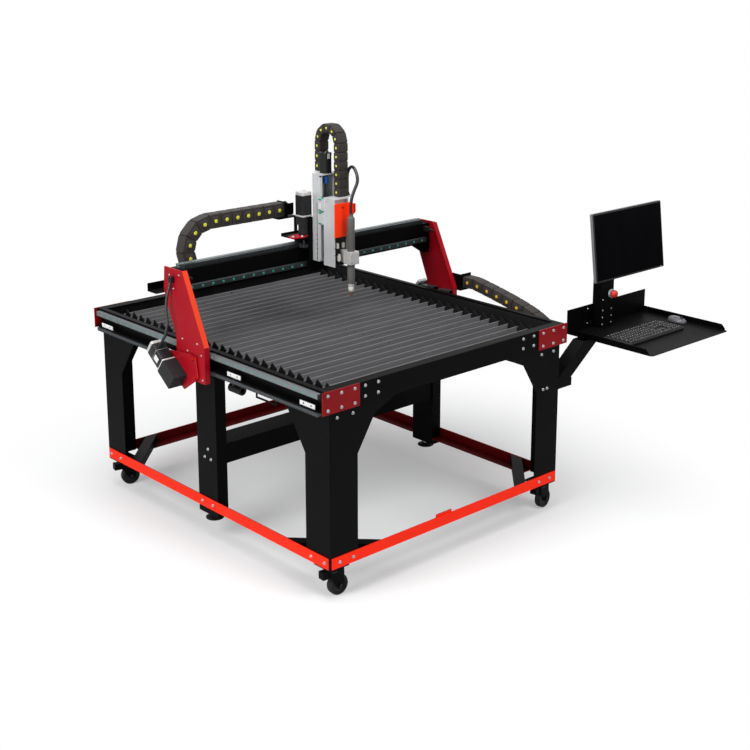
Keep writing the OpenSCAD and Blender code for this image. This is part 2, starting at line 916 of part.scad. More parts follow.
module drain_fitting() {
    z0 = pan_z0 - drain_low;
    color("#1a1a1c") difference() {
        union() {
            z_rod(-drain_x, drain_y, pan_z0 - drain_flange_t, pan_z0, drain_flange_d);
            z_rod(-drain_x, drain_y, z0, pan_z0, drain_d);
            y_rod(-drain_x, drain_y - drain_y1, drain_y + drain_y0, z0, drain_body_d);
        }
        z_rod(-drain_x, drain_y, z0, pan_z0 + over, drain_bore);
        y_rod(-drain_x, drain_y - drain_y1 - over, drain_y, z0, drain_bore);
    }
}

module end_bolts() {
    face = -hl - plate_t;
    plate_face = face - plate_t;
    beam_bolt_share = [0.17, 0.49];
    leg_bolt_share = [0.28, 0.83];
    rail_bolt_share = [0.32, 0.81];
    rows_share = [0.2, 0.68];
    plate_share = [0.14, 0.5, 0.86];
    plate_rows_share = [0.18, 0.82];
    x1 = hw + plate_past;
    for (p = beam_bolt_share) for (s = rows_share)
        y_bolt(-hw + wing_w + p * flare_in2, table_h - s * beam_h, face, 1);
    for (p = plate_share) for (s = plate_rows_share)
        y_bolt(-x1 + p * plate_len, table_h - s * plate_tall, plate_face, 1);
    for (p = leg_bolt_share) y_bolt(-hw + p * wing_w, beam_z0 - flare_mid / 2, -hl, 1);
    for (p = rail_bolt_share) y_bolt(-hw + p * wing_w, rail_z + rail_h / 2, -hl - rail_t, 1);
}

module side_bolts() {
    side_bolt_share = [0.2, 0.76];
    for (p = side_bolt_share) x_bolt(-hl + p * wing_w, rail_z + rail_h / 2, -hw - rail_t, -1);
}

module frame_bolts() {
    panel_share = [0.05, 0.38, 0.62, 0.95];
    mid_rail_share = [-0.28, 0.28];
    mid_beam_share = [[-0.06, 0.3], [0.12, 0.75], [-0.2, 0.77]];
    arm_bolt_share = [0.54, 0.72];
    panel_rows_share = [0.16, 0.8];
    panel_bolts = 2 * post_w;
    color("#c4c7cb") {
        both_ends() both_sides() {
            end_bolts();
            side_bolts();
        }
        both_sides() {
            for (s = mid_rail_share) x_bolt(s * mid_w, rail_z + rail_h / 2, -hw - rail_t, -1);
            for (s = mid_beam_share) x_bolt(s[0] * mid_w, cross_z1 - s[1] * cross_h, -hw, -1);
        }
        for (p = arm_bolt_share) y_bolt(hw - p * wing_w, arm_block_z1 - bolt_d, -hl, 1);
        for (p = panel_share) for (s = panel_rows_share)
            y_bolt(post_x + post_w + (p - 1) * panel_bolts, tray_h + panel_up * (1 - s),
                tray_y1 - tray_t, 1);
    }
}

// Casters
module caster_place(sx, sy, a) {
    translate([sx * caster_x, sy * caster_y, 0]) rotate([0, 0, a]) children();
}

module caster_plates() {
    z1 = leg_z0 - caster_t;
    color("#1b1b1d") for (sx = [-1, 1]) for (sy = [-1, 1]) caster_place(sx, sy, 0) {
        box(-caster_sq / 2, caster_sq / 2, -caster_sq / 2, caster_sq / 2, z1, leg_z0);
        z_rod(0, 0, z1 - hub_h, z1, hub_d);
        z_rod(0, 0, fork_bridge_z0 - king_head_h, z1, king_d);
        z_rod(0, 0, fork_bridge_z0 - slide_fit - king_head_h, fork_bridge_z0 - slide_fit, king_head_d);
    }
}

module caster_fork() {
    cheek = [[-cheek_w / 2, fork_bridge_z0 + fork_t], [trail + cheek_w / 2, fork_bridge_z0 + fork_t],
        [trail + cheek_w / 2, wheel_r - axle_d], [trail + axle_d, wheel_r - 1.5 * axle_d],
        [trail - axle_d, wheel_r - 1.5 * axle_d], [-cheek_w / 2, fork_bridge_z0 - cheek_w / 2]];
    y1 = fork_in + cheek_t;
    color("#19191b") difference() {
        union() {
            z_rod(0, 0, fork_bridge_z0, fork_top_z, hub_d);
            box(-cheek_w / 2, trail + cheek_w / 2, -y1, y1, fork_bridge_z0, fork_bridge_z0 + fork_t);
            xz_plate(cheek, -y1, -fork_in);
            xz_plate(cheek, fork_in, y1);
            y_rod(trail, -y1 - axle_head, y1 + axle_head, wheel_r, axle_d);
            y_rod(trail, -y1 - axle_head, -y1, wheel_r, axle_head_d);
            y_rod(trail, y1, y1 + axle_head, wheel_r, axle_head_d);
            box(-cheek_w / 2 - brake_off, -cheek_w / 2, -wheel_w / 2, wheel_w / 2,
                fork_bridge_z0 + fork_t - brake_h, fork_bridge_z0 + fork_t);
        }
        z_rod(0, 0, fork_bridge_z0 - over, fork_top_z + over, king_d + 2 * turn_fit);
    }
}

module caster_wheel() {
    w = wheel_w / 2;
    r0 = axle_d / 2 + turn_fit;
    rim = wheel_r - wheel_rim;
    profile = [[r0, -w], [wheel_hub_d / 2, -w], [wheel_hub_d / 2, -w + wheel_dish], [rim, -w + wheel_dish],
        [rim, -w], [wheel_r - wheel_chamfer, -w], [wheel_r, -w + wheel_chamfer],
        [wheel_r, w - wheel_chamfer], [wheel_r - wheel_chamfer, w], [rim, w], [rim, w - wheel_dish],
        [wheel_hub_d / 2, w - wheel_dish],
        [wheel_hub_d / 2, w], [r0, w]];
    color("#232325") translate([trail, 0, wheel_r]) rotate([90, 0, 0])
        rotate_extrude($fn = wheel_fn) polygon(profile);
}

module caster_fork_fl() { caster_place(-1, -1, front_left_a) caster_fork(); }
module caster_fork_fr() { caster_place(1, -1, front_right_a) caster_fork(); }
module caster_fork_bl() { caster_place(-1, 1, back_left_a) caster_fork(); }
module caster_fork_br() { caster_place(1, 1, back_right_a) caster_fork(); }
module caster_wheel_fl() { caster_place(-1, -1, front_left_a) caster_wheel(); }
module caster_wheel_fr() { caster_place(1, -1, front_right_a) caster_wheel(); }
module caster_wheel_bl() { caster_place(-1, 1, back_left_a) caster_wheel(); }
module caster_wheel_br() { caster_place(1, 1, back_right_a) caster_wheel(); }

// Leveling feet, wound up clear of the floor
module foot(x) {
    z0 = mid_z0 - foot_raise;
    profile = [[0, z0], [foot_d / 2, z0], [foot_d / 2, z0 + foot_rim], [foot_neck_d / 2, z0 + foot_t],
        [stud_d / 2, z0 + foot_t], [stud_d / 2, z0 + foot_t + stud_up], [0, z0 + foot_t + stud_up]];
    color("#2a2a2c") translate([x, 0, 0]) {
        rotate_extrude($fn = bore_fn) polygon(profile);
        translate([0, 0, z0 + foot_t]) cylinder(h = nut_h, d = nut_d, $fn = 6);
    }
}

module left_foot() { foot(-foot_x); }
module right_foot() { foot(foot_x); }

// Gantry
module gantry_beam() {
    color("#131315") {
        difference() {
            box(-gp_x0, gp_x0, beam_y0, beam_y1, beam_bot, beam_top);
            box(-gp_x0 - over, gp_x0 + over, beam_y0 + gbeam_t, beam_y1 - gbeam_t, beam_bot + gbeam_t,
                beam_top - gbeam_t);
        }
        both_sides() xz_plate([[gp_x0, beam_bot], [gp_x0 - gusset_l, beam_bot],
            [gp_x0 - gusset_h, beam_bot - gusset_h], [gp_x0, beam_bot - gusset_h]],
            beam_y0, beam_y0 + plate_t);
        both_sides() box(gp_x0 - plate_t, gp_x0, beam_y0, beam_y1, beam_bot - gusset_h, beam_bot);
    }
}

module gantry_plate() {
    profile = [[gp_front, gp_z0], [gp_front, gp_knee], [gp_top0, gp_z1], [gp_top1, gp_z1],
        [gp_bump, gp_bump_z], [gp_back, gp_back_knee], [gp_back, gp_back_low], [gp_foot, gp_z0]];
    yz_plate(profile, gp_x0, gp_x1);
    yz_plate([[gp_front, gp_z0], [gp_front, gp_knee], [gp_top0, gp_z1], [gp_top0 + gp_flange_run, gp_z1],
        [gp_front + gp_flange_t, gp_knee], [gp_front + gp_flange_t, gp_z0]], gp_x0 - gp_flange, gp_x1);
}

module gantry_plates() {
    color("#c0152a") both_sides() gantry_plate();
}

module beam_linear_rails() {
    x1 = gp_x0 - x_rail_short;
    color("#c9ccd0") {
        box(-x1, x1, beam_y0 - guide_h, beam_y0, x_rail_z0, x_rail_z1);
        box(-x1, x1, top_rail_y - guide_w / 2, top_rail_y + guide_w / 2, beam_top, beam_top + guide_h);
        both_sides() box(gp_x0 - stop_in - stop_w, gp_x0 - stop_in, beam_y0 - stop_h, beam_y0,
            x_rail_z1 + stop_l, x_rail_z1 + 2 * stop_l);
    }
}

module beam_rack() {
    x1 = gp_x0 - x_rail_short;
    color("#b9bcc2") translate([0, x_pitch_y, beam_top]) linear_extrude(height = rack_w)
        polygon(rack_pts(x_pin_x, -x1, x1));
}

module gantry_bearings() {
    x0 = guide_x0 + block_lift;
    color("#8f9499") both_sides() for (y = [-block_y, block_y]) difference() {
        box(x0, gp_x0, y - block_l / 2, y + block_l / 2, guide_zc - block_h / 2, guide_zc + block_h / 2);
        box(x0 - over, guide_x1 + slide_fit, y - block_l / 2 - over, y + block_l / 2 + over,
            guide_z0 - slide_fit, guide_z1 + slide_fit);
    }
}

module x_chain_tray() {
    z1 = x_chain_top - 2 * x_chain_r - x_chain_h / 2;
    z0 = z1 - x_tray_t;
    color("#161618") {
        box(x_tray_x0, x_tray_x1, x_tray_y0, x_tray_y1, z0, z1);
        box(x_tray_x0, x_tray_x1, x_tray_y1 - x_tray_t, x_tray_y1, z0, z1 + x_tray_lip);
        for (s = x_tray_arm_share) {
            x = x_tray_x0 + s * (x_tray_x1 - x_tray_x0);
            box(x, x + x_tray_arm, beam_y1, x_tray_y1, z0 - x_tray_t, z0);
            box(x, x + x_tray_arm, beam_y1, beam_y1 + x_tray_t, z0 - x_tray_t, z1 + x_tray_lip);
        }
        box(gp_x1, gp_x1 + bracket_t, hang_y0, hang_y1, hang_z0, hang_z1);
        box(gp_x1, hang_x1, hang_y0, hang_y0 + hang_t, hang_z0, hang_z1);
    }
}

module links_xz(pins, h, y, w) {
    for (i = [0 : len(pins) - 2]) xz_plate(link_pts(pins, i, h), y - w / 2, y + w / 2);
}

module links_yz(pins, h, x, w) {
    for (i = [0 : len(pins) - 2]) yz_plate(link_pts(pins, i, h), x - w / 2, x + w / 2);
}

module x_chain() {
    color("#202022") links_xz(x_chain_pins, x_chain_h, x_chain_y, x_chain_w);
}

module y_chain() {
    color("#202022") links_yz(y_chain_pins, y_chain_h, y_chain_x, y_chain_w);
}

module z_chain() {
    color("#202022") links_yz(z_chain_pins, z_chain_h, z_chain_x, z_chain_w);
}

module y_chain_tray() {
    x0 = y_chain_x - y_chain_w / 2 - y_tray_t - over;
    x1 = y_chain_x + y_chain_w / 2 + y_tray_t + over;
    z1 = y_chain_low - y_chain_h / 2;
    z0 = z1 - y_tray_t;
    color("#161618") {
        box(x0, x1, y_tray_y0, y_tray_y1, z0, z1);
        box(x0, x0 + y_tray_t, y_tray_y0, y_tray_y1, z0, z1 + y_tray_lip);
        box(x1 - y_tray_t, x1, y_tray_y0, y_tray_y1, z0, z1 + y_tray_lip);
        for (y = [y_arm_front, -y_arm_w / 2]) box(hw, x1, y, y + y_arm_w, z0 - y_arm_t, z0);
        box(x0, x1, y_arm_front, y_tray_y0, z0, z1);
    }
}

// Side drives: a pivoting plate carries an angled gearbox and motor, the pinion hangs under the rack
module drive_frame() {
    translate([0, drive_y, drive_z]) rotate([drive_a, 0, 0]) children();
}

module drive_pivot_plates() {
    diamond = [[pivot_y + pivot_ear, pivot_z + pivot_ear], [pivot_y - pivot_ear, pivot_z + pivot_ear / 2],
        [spring_y - pivot_ear, spring_z], [spring_y, spring_z - pivot_ear],
        [drive_y - gear_w / 2, drive_z - gear_w],
        [drive_y + gear_w, drive_z], [drive_y + gear_w, pivot_z]];
    color("#b3141f") both_sides() difference() {
        union() {
            yz_plate(diamond, pivot_x0, pivot_x1);
            x_rod(gp_x1, pivot_x0, pivot_y, pivot_z, pivot_boss_d);
            x_rod(gp_x1, pivot_x0, spring_y, spring_z, pivot_boss_d);
            x_rod(pivot_x1, pivot_x1 + pin_bolt_h, pivot_y, pivot_z, pin_bolt_d);
            x_rod(pivot_x1, pivot_x1 + pin_bolt_h, spring_y, spring_z, pin_bolt_d);
        }
        x_rod(pivot_x0 - over, pivot_x1 + over, drive_y, drive_z, pivot_hole_d);
    }
}

module side_gearboxes() {
    color("#17171a") both_sides() difference() {
        drive_frame() box(pivot_x1, pivot_x1 + gear_x, -gear_l / 2, gear_l / 2, -gear_w / 2, gear_w / 2);
        x_rod(pivot_x1 - over, pivot_x1 + shaft_in, drive_y, drive_z, shaft_d + 2 * turn_fit);
    }
}

module side_motors() {
    xc = pivot_x1 + gear_x / 2;
    f = gear_x / 2 - gear_flange_over;
    y1 = gear_l / 2;
    y2 = y1 + gear_flange_t;
    y3 = y2 + motor_l;
    m = drive_motor_w / 2;
    color("#26262a") both_sides() drive_frame() {
        box(xc - f, xc + f, y1, y2, -gear_w / 2, gear_w / 2);
        box(xc - m, xc + m, y2, y3, -m, m);
        box(xc - m + gear_flange_over, xc + m - gear_flange_over, y3, y3 + motor_cap, -m + gear_flange_over,
            m - gear_flange_over);
        z_rod(xc, plug_along, m, plug_top, plug_d);
    }
}

conduit_x = pivot_x1 + gear_x / 2;
plug_along = gear_l / 2 + gear_flange_t + motor_l * plug_share;
plug_top = drive_motor_w / 2 + plug_h;
function drive_pt(along, up) = [conduit_x, drive_y + along * cos(drive_a) - up * sin(drive_a),
    drive_z + along * sin(drive_a) + up * cos(drive_a)];
conduit_points = [[10, 124, -50], [14, 132, -90], [26, 138, -140], [40, 126, -195], [48, 108, -250]];
conduit_route = concat([for (p = conduit_points) [gp_x1 + p[0], p[1], gp_z1 + p[2]]],
    [for (s = [1, 0.5, 0]) drive_pt(plug_along, plug_top + seat_fit + s * plug_run)]);

module motor_conduits() {
    color("#2c2c2f") both_sides() {
        cord(conduit_route, conduit_d, conduit_sides, conduit_steps);
        box(gp_x1, gp_x1 + clip_l, clip_y0, clip_y1, gp_z1 - clip_z0, gp_z1 - clip_z1);
    }
}

module pinion_at_side() {
    x0 = side_rack_x0 + pinion_side;
    color("#a9adb3") {
        translate([x0, drive_y, drive_z]) rotate([90, 0, 90])
            linear_extrude(height = pinion_w) polygon(gear_pts);
        x_rod(x0, pivot_x1 + shaft_in - pinion_side, drive_y, drive_z, shaft_d);
    }
}

module left_pinion() { mirror([1, 0, 0]) pinion_at_side(); }
module right_pinion() { pinion_at_side(); }

// Carriage on the gantry beam
module carriage_plates() {
    rail_y0 = beam_y0 - guide_h;
    color("#b4b8bd") {
        difference() {
            union() {
                box(cp_x0, cp_x1, cp_y0, cp_y1, cp_z0, cp_z1);
                box(top_x0, cp_x1, cp_y0, top_y1, top_z0, top_z0 + top_t);
                box(chain_post_x - chain_post_t, chain_post_x, top_y1 - chain_post_t, chain_post_y1, shelf_z0,
                    chain_post_z1);
                box(chain_post_x - shelf_l, prop_x1, top_y1 - chain_post_t, chain_post_y1, shelf_z0,
                    shelf_z0 + chain_post_t);
                box(prop_x1 - chain_post_t, prop_x1, top_y1 - chain_post_t, top_y1 + prop_w, top_z0,
                    shelf_z0 + chain_post_t);
                for (y = [chain_post_y1 - x_chain_w, chain_post_y1 - chain_post_t])
                    box(chain_post_x - over, chain_post_x + chain_end_l, y, y + chain_post_t,
                        x_chain_top - chain_end_h / 2, x_chain_top + chain_end_h / 2);
                box(top_x0, cp_x1, top_y1 - chain_post_t, top_y1, top_z0, top_z0 + 2 * top_t);
            }
            z_rod(x_pin_x, x_pin_y, top_z0 - over, top_z0 + top_t + over, pinion_hole_d);
        }
        for (x = [x_block_a, x_block_b]) {
            difference() {
                box(x - x_block_l / 2, x + x_block_l / 2, cp_y1, cp_y1 + x_block_t,
                    x_rail_z0 + guide_w / 2 - x_block_w / 2, x_rail_z0 + guide_w / 2 + x_block_w / 2);
                box(x - x_block_l, x + x_block_l, rail_y0 - slide_fit, beam_y0, x_rail_z0 - slide_fit,
                    x_rail_z1 + slide_fit);
            }
            difference() {
                box(x - x_block_l / 2, x + x_block_l / 2, top_rail_y - x_block_w / 2,
                    top_rail_y + x_block_w / 2, beam_top + block_lift, top_z0);
                box(x - x_block_l, x + x_block_l, top_rail_y - guide_w / 2 - slide_fit,
                    top_rail_y + guide_w / 2 + slide_fit, beam_top, beam_top + guide_h + slide_fit);
            }
        }
    }
}

module x_motor() {
    z0 = top_z0 + top_t;
    z1 = z0 + red_gap + red_t;
    z2 = z1 + head_h;
    z3 = z2 + x_flange_t;
    z4 = z3 + x_motor_l;
    m = motor_w / 2;
    red = [for (q = red_shares) [x_pin_x + q[0] * red_w, x_pin_y + q[1] * red_w]];
    color("#2a2a2e") difference() {
        union() {
            z_rod(x_pin_x, x_pin_y, z0, z1, pinion_hole_d + 4 * red_gap);
            translate([0, 0, z0 + red_gap]) linear_extrude(height = red_t) polygon(red);
            z_rod(x_pin_x, x_pin_y, z1, z2, head_d);
            box(x_pin_x - m - over, x_pin_x + m + over, x_pin_y - m - over, x_pin_y + m + over, z2, z3);
            box(x_pin_x - m, x_pin_x + m, x_pin_y - m, x_pin_y + m, z3, z4);
            box(x_pin_x - m + over, x_pin_x + m - over, x_pin_y - m + over, x_pin_y + m - over, z4,
                z4 + x_motor_cap);
        }
        z_rod(x_pin_x, x_pin_y, z0 - over, z1 + x_shaft_in, x_shaft_d + 2 * turn_fit);
    }
}

module x_pinion() {
    z0 = beam_top + pinion_side;
    color("#a9adb3") {
        translate([x_pin_x, x_pin_y, z0]) linear_extrude(height = pinion_w) polygon(gear_pts);
        z_rod(x_pin_x, x_pin_y, z0, top_z0 + top_t + red_gap + red_t + x_shaft_in - pinion_side, x_shaft_d);
    }
}

// Torch lift
module lift_channel() {
    color("#c2c6cb") {
        difference() {
            union() {
                box(lift_x0, lift_x1, lift_y0, lift_y1, lift_z0, lift_z1 - lift_cap);
                box(lift_x0, lift_x1, lift_y0 - lift_cap_front, lift_y1, lift_z1 - lift_cap, lift_z1);
                box(z_chain_x - z_chain_w / 2, lift_x1 + lift_cap_right, lift_y0, lift_cap_back,
                    lift_z1 - lift_cap, lift_z1);
            }
            box(lift_x0 + lift_t, lift_x1 - lift_t, lift_y0 - over, lift_y1 - lift_t, lift_z0 + lift_seat,
                lift_z1 - lift_cap);
            z_rod(lift_x, screw_y, lift_z0 - over, lift_z1 + over, screw_d + 2 * turn_fit);
        }
        for (x = [lift_x0, lift_x1 - z_rail_w]) box(x, x + z_rail_w, lift_y0 - z_rail_h, lift_y0,
            lift_z0 + z_rail_short, lift_z1 - lift_cap - z_rail_short);
    }
}

module z_motor() {
    m = z_motor_w / 2;
    z1 = lift_z1 + z_motor_l;
    color("#232326") difference() {
        union() {
            box(lift_x - m, lift_x + m, screw_y - m, screw_y + m, lift_z1, z1);
            box(lift_x - m + over, lift_x + m - over, screw_y - m + over, screw_y + m - over, z1,
                z1 + z_motor_cap);
        }
        z_rod(lift_x, screw_y, lift_z1 - over, lift_z1 + screw_up + over, screw_d + 2 * turn_fit);
    }
}

module lead_screw() {
    z1 = lift_z1 - lift_cap - coupling_down;
    color("#9fa3a8") {
        z_rod(lift_x, screw_y, lift_z0, lift_z1 + screw_up, screw_d);
        z_rod(lift_x, screw_y, z1 - coupling_h, z1, coupling_d);
    }
}

module torch_slide() {
    nut_x0 = lift_x - nut_w / 2;
    color("#c2c6cb") {
        difference() {
            union() {
                difference() {
                    box(slide_x0, slide_x1, slide_y0, slide_y1, slide_z0, slide_z1);
                    box(slide_x0 + slide_t, slide_x1 - slide_t, slide_y0 + slide_set + slide_t,
                        slide_y1 + over, slide_z0 - over, slide_z1 - slide_t);
                    box(slide_x0 + slide_t, slide_x1 - slide_t, slide_y0 - over, slide_y0 + slide_set,
                        slide_z0 - over, slide_z1 - slide_t);
                }
                box(nut_x0, nut_x0 + nut_w, slide_y0 + slide_set, screw_y + nut_past,
                    nut_z, nut_z + nut_tall);
                for (x = [lift_x0, lift_x1 - z_rail_w]) for (z = [z_block_low, z_block_high])
                    box(x + z_rail_w / 2 - z_block_w / 2, x + z_rail_w / 2 + z_block_w / 2, slide_y1,
                        lift_y0 - slide_fit, slide_z0 + z, slide_z0 + z + z_block_l);
                box(slide_x1 - slide_t, gland_x + gland_d / 2 + gland_edge, z_chain_y0 - z_chain_h / 2,
                    z_chain_y0 + z_chain_h / 2, slide_z1 - slide_t, slide_z1);
            }
            for (x = [lift_x0, lift_x1 - z_rail_w]) box(x - slide_fit, x + z_rail_w + slide_fit,
                lift_y0 - z_rail_h - slide_fit, lift_y0, slide_z0 - over, slide_z1 + over);
            z_rod(lift_x, screw_y, nut_z - over, nut_z + nut_tall + over, screw_d + 2 * slide_fit);
        }
    }
}

module torch_bracket() {
    y1 = slide_y0;
    y0 = y1 - hand_t;
    z1 = hand_z0 + hand_taper;
    plate = [[slide_x0, hand_z1], [slide_x1, hand_z1], [slide_x1, z1], [slide_x1 - hand_in, hand_z0],
        [slide_x0, hand_z0]];
    gusset = [[y0, hand_z1], [y0 - hand_out, hand_z1], [y0 - hand_out, hand_z1 - hand_deep], [y0, z1]];
    color("#e2451c") {
        xz_plate(plate, y0, y1);
        yz_plate(gusset, slide_x1 - hand_t, slide_x1);
    }
    color("#b9bdc2") difference() {
        union() {
            box(hold_x0, hold_x1, hold_y0, hold_y1, hold_z0, hold_z0 + hold_h);
            box(hold_neck_x, hold_neck_x + hold_neck_w, hold_y1 - over, y1 + slide_set,
                hold_z0, hold_z0 + hold_h);
        }
        z_rod(torch_x, torch_y, hold_z0 - over, hold_z0 + hold_h + over, torch_d);
    }
}

lead_points = [[32, -157, 20], [32, -157, 42], [37, -158.5, 78], [49, -163, 115], [61, -167, 143],
    [66, -168, 166], [68.2, -160.4, 191.4], [74.2, -139.8, 213], [84, -111.5, 220.9], [93, -83.3, 213],
    [97.8, -62.6, 191.4], [99, -55, 162], [99, -55, 120]];
lead_route = concat([[torch_x, torch_y, torch_z1 + seat_fit]],
    [for (p = lead_points) [p[0], p[1], torch_z1 + p[2]]],
    [[gland_x, gland_y, slide_z1 + gland_h + seat_fit]]);

module torch() {
    r = torch_d / 2;
    z1 = torch_z0;
    z2 = z1 - torch_neck_h;
    profile = [[0, z2 - torch_tip_h], [torch_tip_d / 2, z2 - torch_tip_h], [torch_neck_d / 2, z2],
        [torch_neck_d / 2, z1], [r, z1], [r, torch_z1], [0, torch_z1]];
    color("#1c1c1e") {
        translate([torch_x, torch_y, 0]) rotate_extrude($fn = bore_fn) polygon(profile);
        z_rod(gland_x, gland_y, slide_z1, slide_z1 + gland_h, gland_d);
    }
}

module torch_lead() {
    color("#1f1f22") cord(lead_route, lead_d, conduit_sides, lead_steps);
}

// Operator's station
module station_arm() {
    outer = [[hw + arm_plate_t, arm_block_z1], [arm_foot_x1, arm_block_z1], [arm_head_x1, tray_h - tray_t],
        [arm_head_x0, tray_h - tray_t], [hw + arm_plate_t, arm_block_z1 + arm_heel]];
    inner = [[hw + arm_plate_t + 4 * tube_t, arm_block_z1 + tube_t],
        [arm_foot_x1 - tube_t, arm_block_z1 + tube_t], [arm_head_x1 - 2 * tube_t, tray_h],
        [arm_head_x0 + 2 * tube_t, tray_h]];
    color("#161618") {
        box(hw, hw + arm_plate_t, arm_y0, arm_y1, arm_plate_z0, arm_plate_z1);
        box(hw + arm_plate_t, arm_block_x1, arm_y0, arm_y1, arm_plate_z0, arm_block_z1);
        difference() {
            xz_plate(outer, arm_y0, arm_y1);
            xz_plate(inner, arm_y0 + tube_t, arm_y1 - tube_t);
        }
    }
}

module tray_outline() {
    hull() {
        for (x = [tray_x0 + tray_r, tray_x1 - tray_r])
            translate([x, tray_y0 + tray_r]) circle(r = tray_r, $fn = tray_fn);
        for (x = [tray_x0, tray_x1 - tray_r]) translate([x, tray_y1 - tray_r]) square(tray_r);
    }
}

module station_tray() {
    z0 = tray_h - tray_t;
    z1 = tray_h + tray_lip;
    lip = [[tray_y0 + tray_r, z0], [tray_y1 - tray_t, z0], [tray_y1 - tray_t, z1],
        [tray_y0 + 2 * tray_r, z1], [tray_y0 + tray_r, z1 - tray_r]];
    color("#121214") {
        translate([0, 0, z0]) linear_extrude(height = tray_t) tray_outline();
        for (x = [tray_x0, tray_x1 - tray_t]) yz_plate(lip, x, x + tray_t);
        box(tray_x0, tray_x1, tray_y1 - tray_t, tray_y1, z0, tray_h + panel_up);
    }
}

post_y1 = tray_y1 - tray_t;
post_y0 = post_y1 - post_d;
hinge_out = 2;
hinge_y = post_y0 - hinge_out;
hinge_z = post_z1 + hinge_up;

module monitor_post() {
    x0 = post_x - post_w / 2;
    x1 = post_x + post_w / 2;
    color("#151517") {
        difference() {
            box(x0, x1, post_y0, post_y1, tray_h, post_z1);
            box(x0 + post_t, x1 - post_t, post_y0 + post_t, post_y1 + over, tray_h - over, post_z1 - post_t);
            y_rod(estop_x, post_y0 - over, post_y0 + post_t + over, estop_z, stem_d + 2 * slide_fit);
        }
        for (s = [-1, 1]) translate([post_x + s * (ear_gap + ear_t) / 2, 0, 0])
            box(-ear_t / 2, ear_t / 2, hinge_y - ear_w / 2, hinge_y + ear_w / 2, post_z1, post_z1 + ear_up);
        x_rod(post_x - ear_gap / 2 - ear_t - hinge_pin_head, post_x + ear_gap / 2 + ear_t + hinge_pin_head,
            hinge_y, hinge_z, hinge_d);
        box(x0, x1, hinge_y - ear_w / 2, post_y1, post_z1 - post_t, post_z1);
    }
}

module monitor() {
    lug_x0 = post_x - ear_gap / 2 + lug_side;
    lug_x1 = post_x + ear_gap / 2 - lug_side;
    screen_x = post_x + screen_off;
    color("#1b1c1f") translate([0, hinge_y, hinge_z]) rotate([-screen_a, 0, 0]) difference() {
        union() {
            x_rod(lug_x0, lug_x1, 0, 0, lug_d);
            box(lug_x0, lug_x1, -screen_back + screen_t, 0, -lug_d / 2, lug_d / 2);
            box(post_x - screen_box / 2, post_x + screen_box / 2, -screen_back + screen_t / 2,
                -screen_back + screen_t + screen_box_t, -screen_box / 2, screen_box / 2);
            difference() {
                box(screen_x - screen_w / 2, screen_x + screen_w / 2, -screen_back - screen_t / 2,
                    -screen_back + screen_t / 2, -screen_h / 2, screen_h / 2);
                box(screen_x - screen_w / 2 + screen_rim, screen_x + screen_w / 2 - screen_rim,
                    -screen_back - screen_t, -screen_back - screen_t / 2 + screen_set,
                    -screen_h / 2 + screen_rim, screen_h / 2 - screen_rim);
            }
        }
        x_rod(lug_x0 - over, lug_x1 + over, 0, 0, hinge_d + 2 * turn_fit);
    }
}

module estop_collar() {
    color("#c0c3c8") difference() {
        y_rod(estop_x, post_y0 - collar_h, post_y0, estop_z, collar_d);
        y_rod(estop_x, post_y0 - collar_h - over, post_y0 + over, estop_z, stem_d + 2 * turn_fit);
    }
}

module estop_button() {
    y1 = post_y0 - collar_h - estop_neck;
    color("#e0301e") {
        y_rod(estop_x, y1 - estop_cap_h, y1, estop_z, estop_d);
        y_rod(estop_x, y1, y1 + stem_in, estop_z, stem_d);
    }
}

module keyboard() {
    kw = (key_w - 2 * key_edge) / key_cols;
    kd = (key_d - 2 * key_edge) / key_rows;
    color("#1d1d20") translate([key_x0, key_y0, tray_h]) {
        cube([key_w, key_d, key_base]);
        for (i = [0 : key_cols - 1]) for (j = [0 : key_rows - 1])
            translate([key_edge + i * kw + key_gap / 2, key_edge + j * kd + key_gap / 2, key_base])
                cube([kw - key_gap, kd - key_gap, key_tall]);
    }
}

module mouse() {
    r = mouse_w / 2;
    color("#1d1d20") translate([mouse_x, mouse_y, tray_h])
        linear_extrude(height = mouse_h, scale = mouse_taper_share) hull() for (s = [-1, 1])
            translate([0, s * (mouse_l - mouse_w) / 2]) circle(r = r, $fn = mouse_fn);
}

legs();
end_beams();
side_channels();
corner_plates();
lower_rails();
corner_braces();
mid_cross_beam();
side_linear_rails();
side_racks();
rack_clamp_plates();
slat_combs();
slats();
water_pan();
drain_fitting();
frame_bolts();
caster_plates();
y_chain_tray();
y_chain();
station_arm();
station_tray();
monitor_post();
estop_collar();
keyboard();
mouse();
left_foot();
right_foot();
caster_fork_fl();
caster_fork_fr();
caster_fork_bl();
caster_fork_br();
caster_wheel_fl();
caster_wheel_fr();
caster_wheel_bl();
caster_wheel_br();
gantry_beam();
gantry_plates();
beam_linear_rails();
beam_rack();
gantry_bearings();
x_chain_tray();
x_chain();
side_gearboxes();
side_motors();
drive_pivot_plates();
motor_conduits();
left_pinion();
right_pinion();
carriage_plates();
x_motor();
x_pinion();
lift_channel();
z_motor();
lead_screw();
z_chain();
torch_slide();
torch_bracket();
torch();
torch_lead();
monitor();
estop_button();
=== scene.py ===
# %% [markdown]
# # A plasma cutting table, dressed in Blender
# The frame, bed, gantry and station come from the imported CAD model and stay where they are. This
# lesson gives them their finishes and adds the pieces whose charm is in small shapes: cable chains,
# motors, bolts, a keyboard, a torch. All lengths below are millimetres, as on the drawing; the last
# step of every piece turns them into metres.

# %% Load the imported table
import math

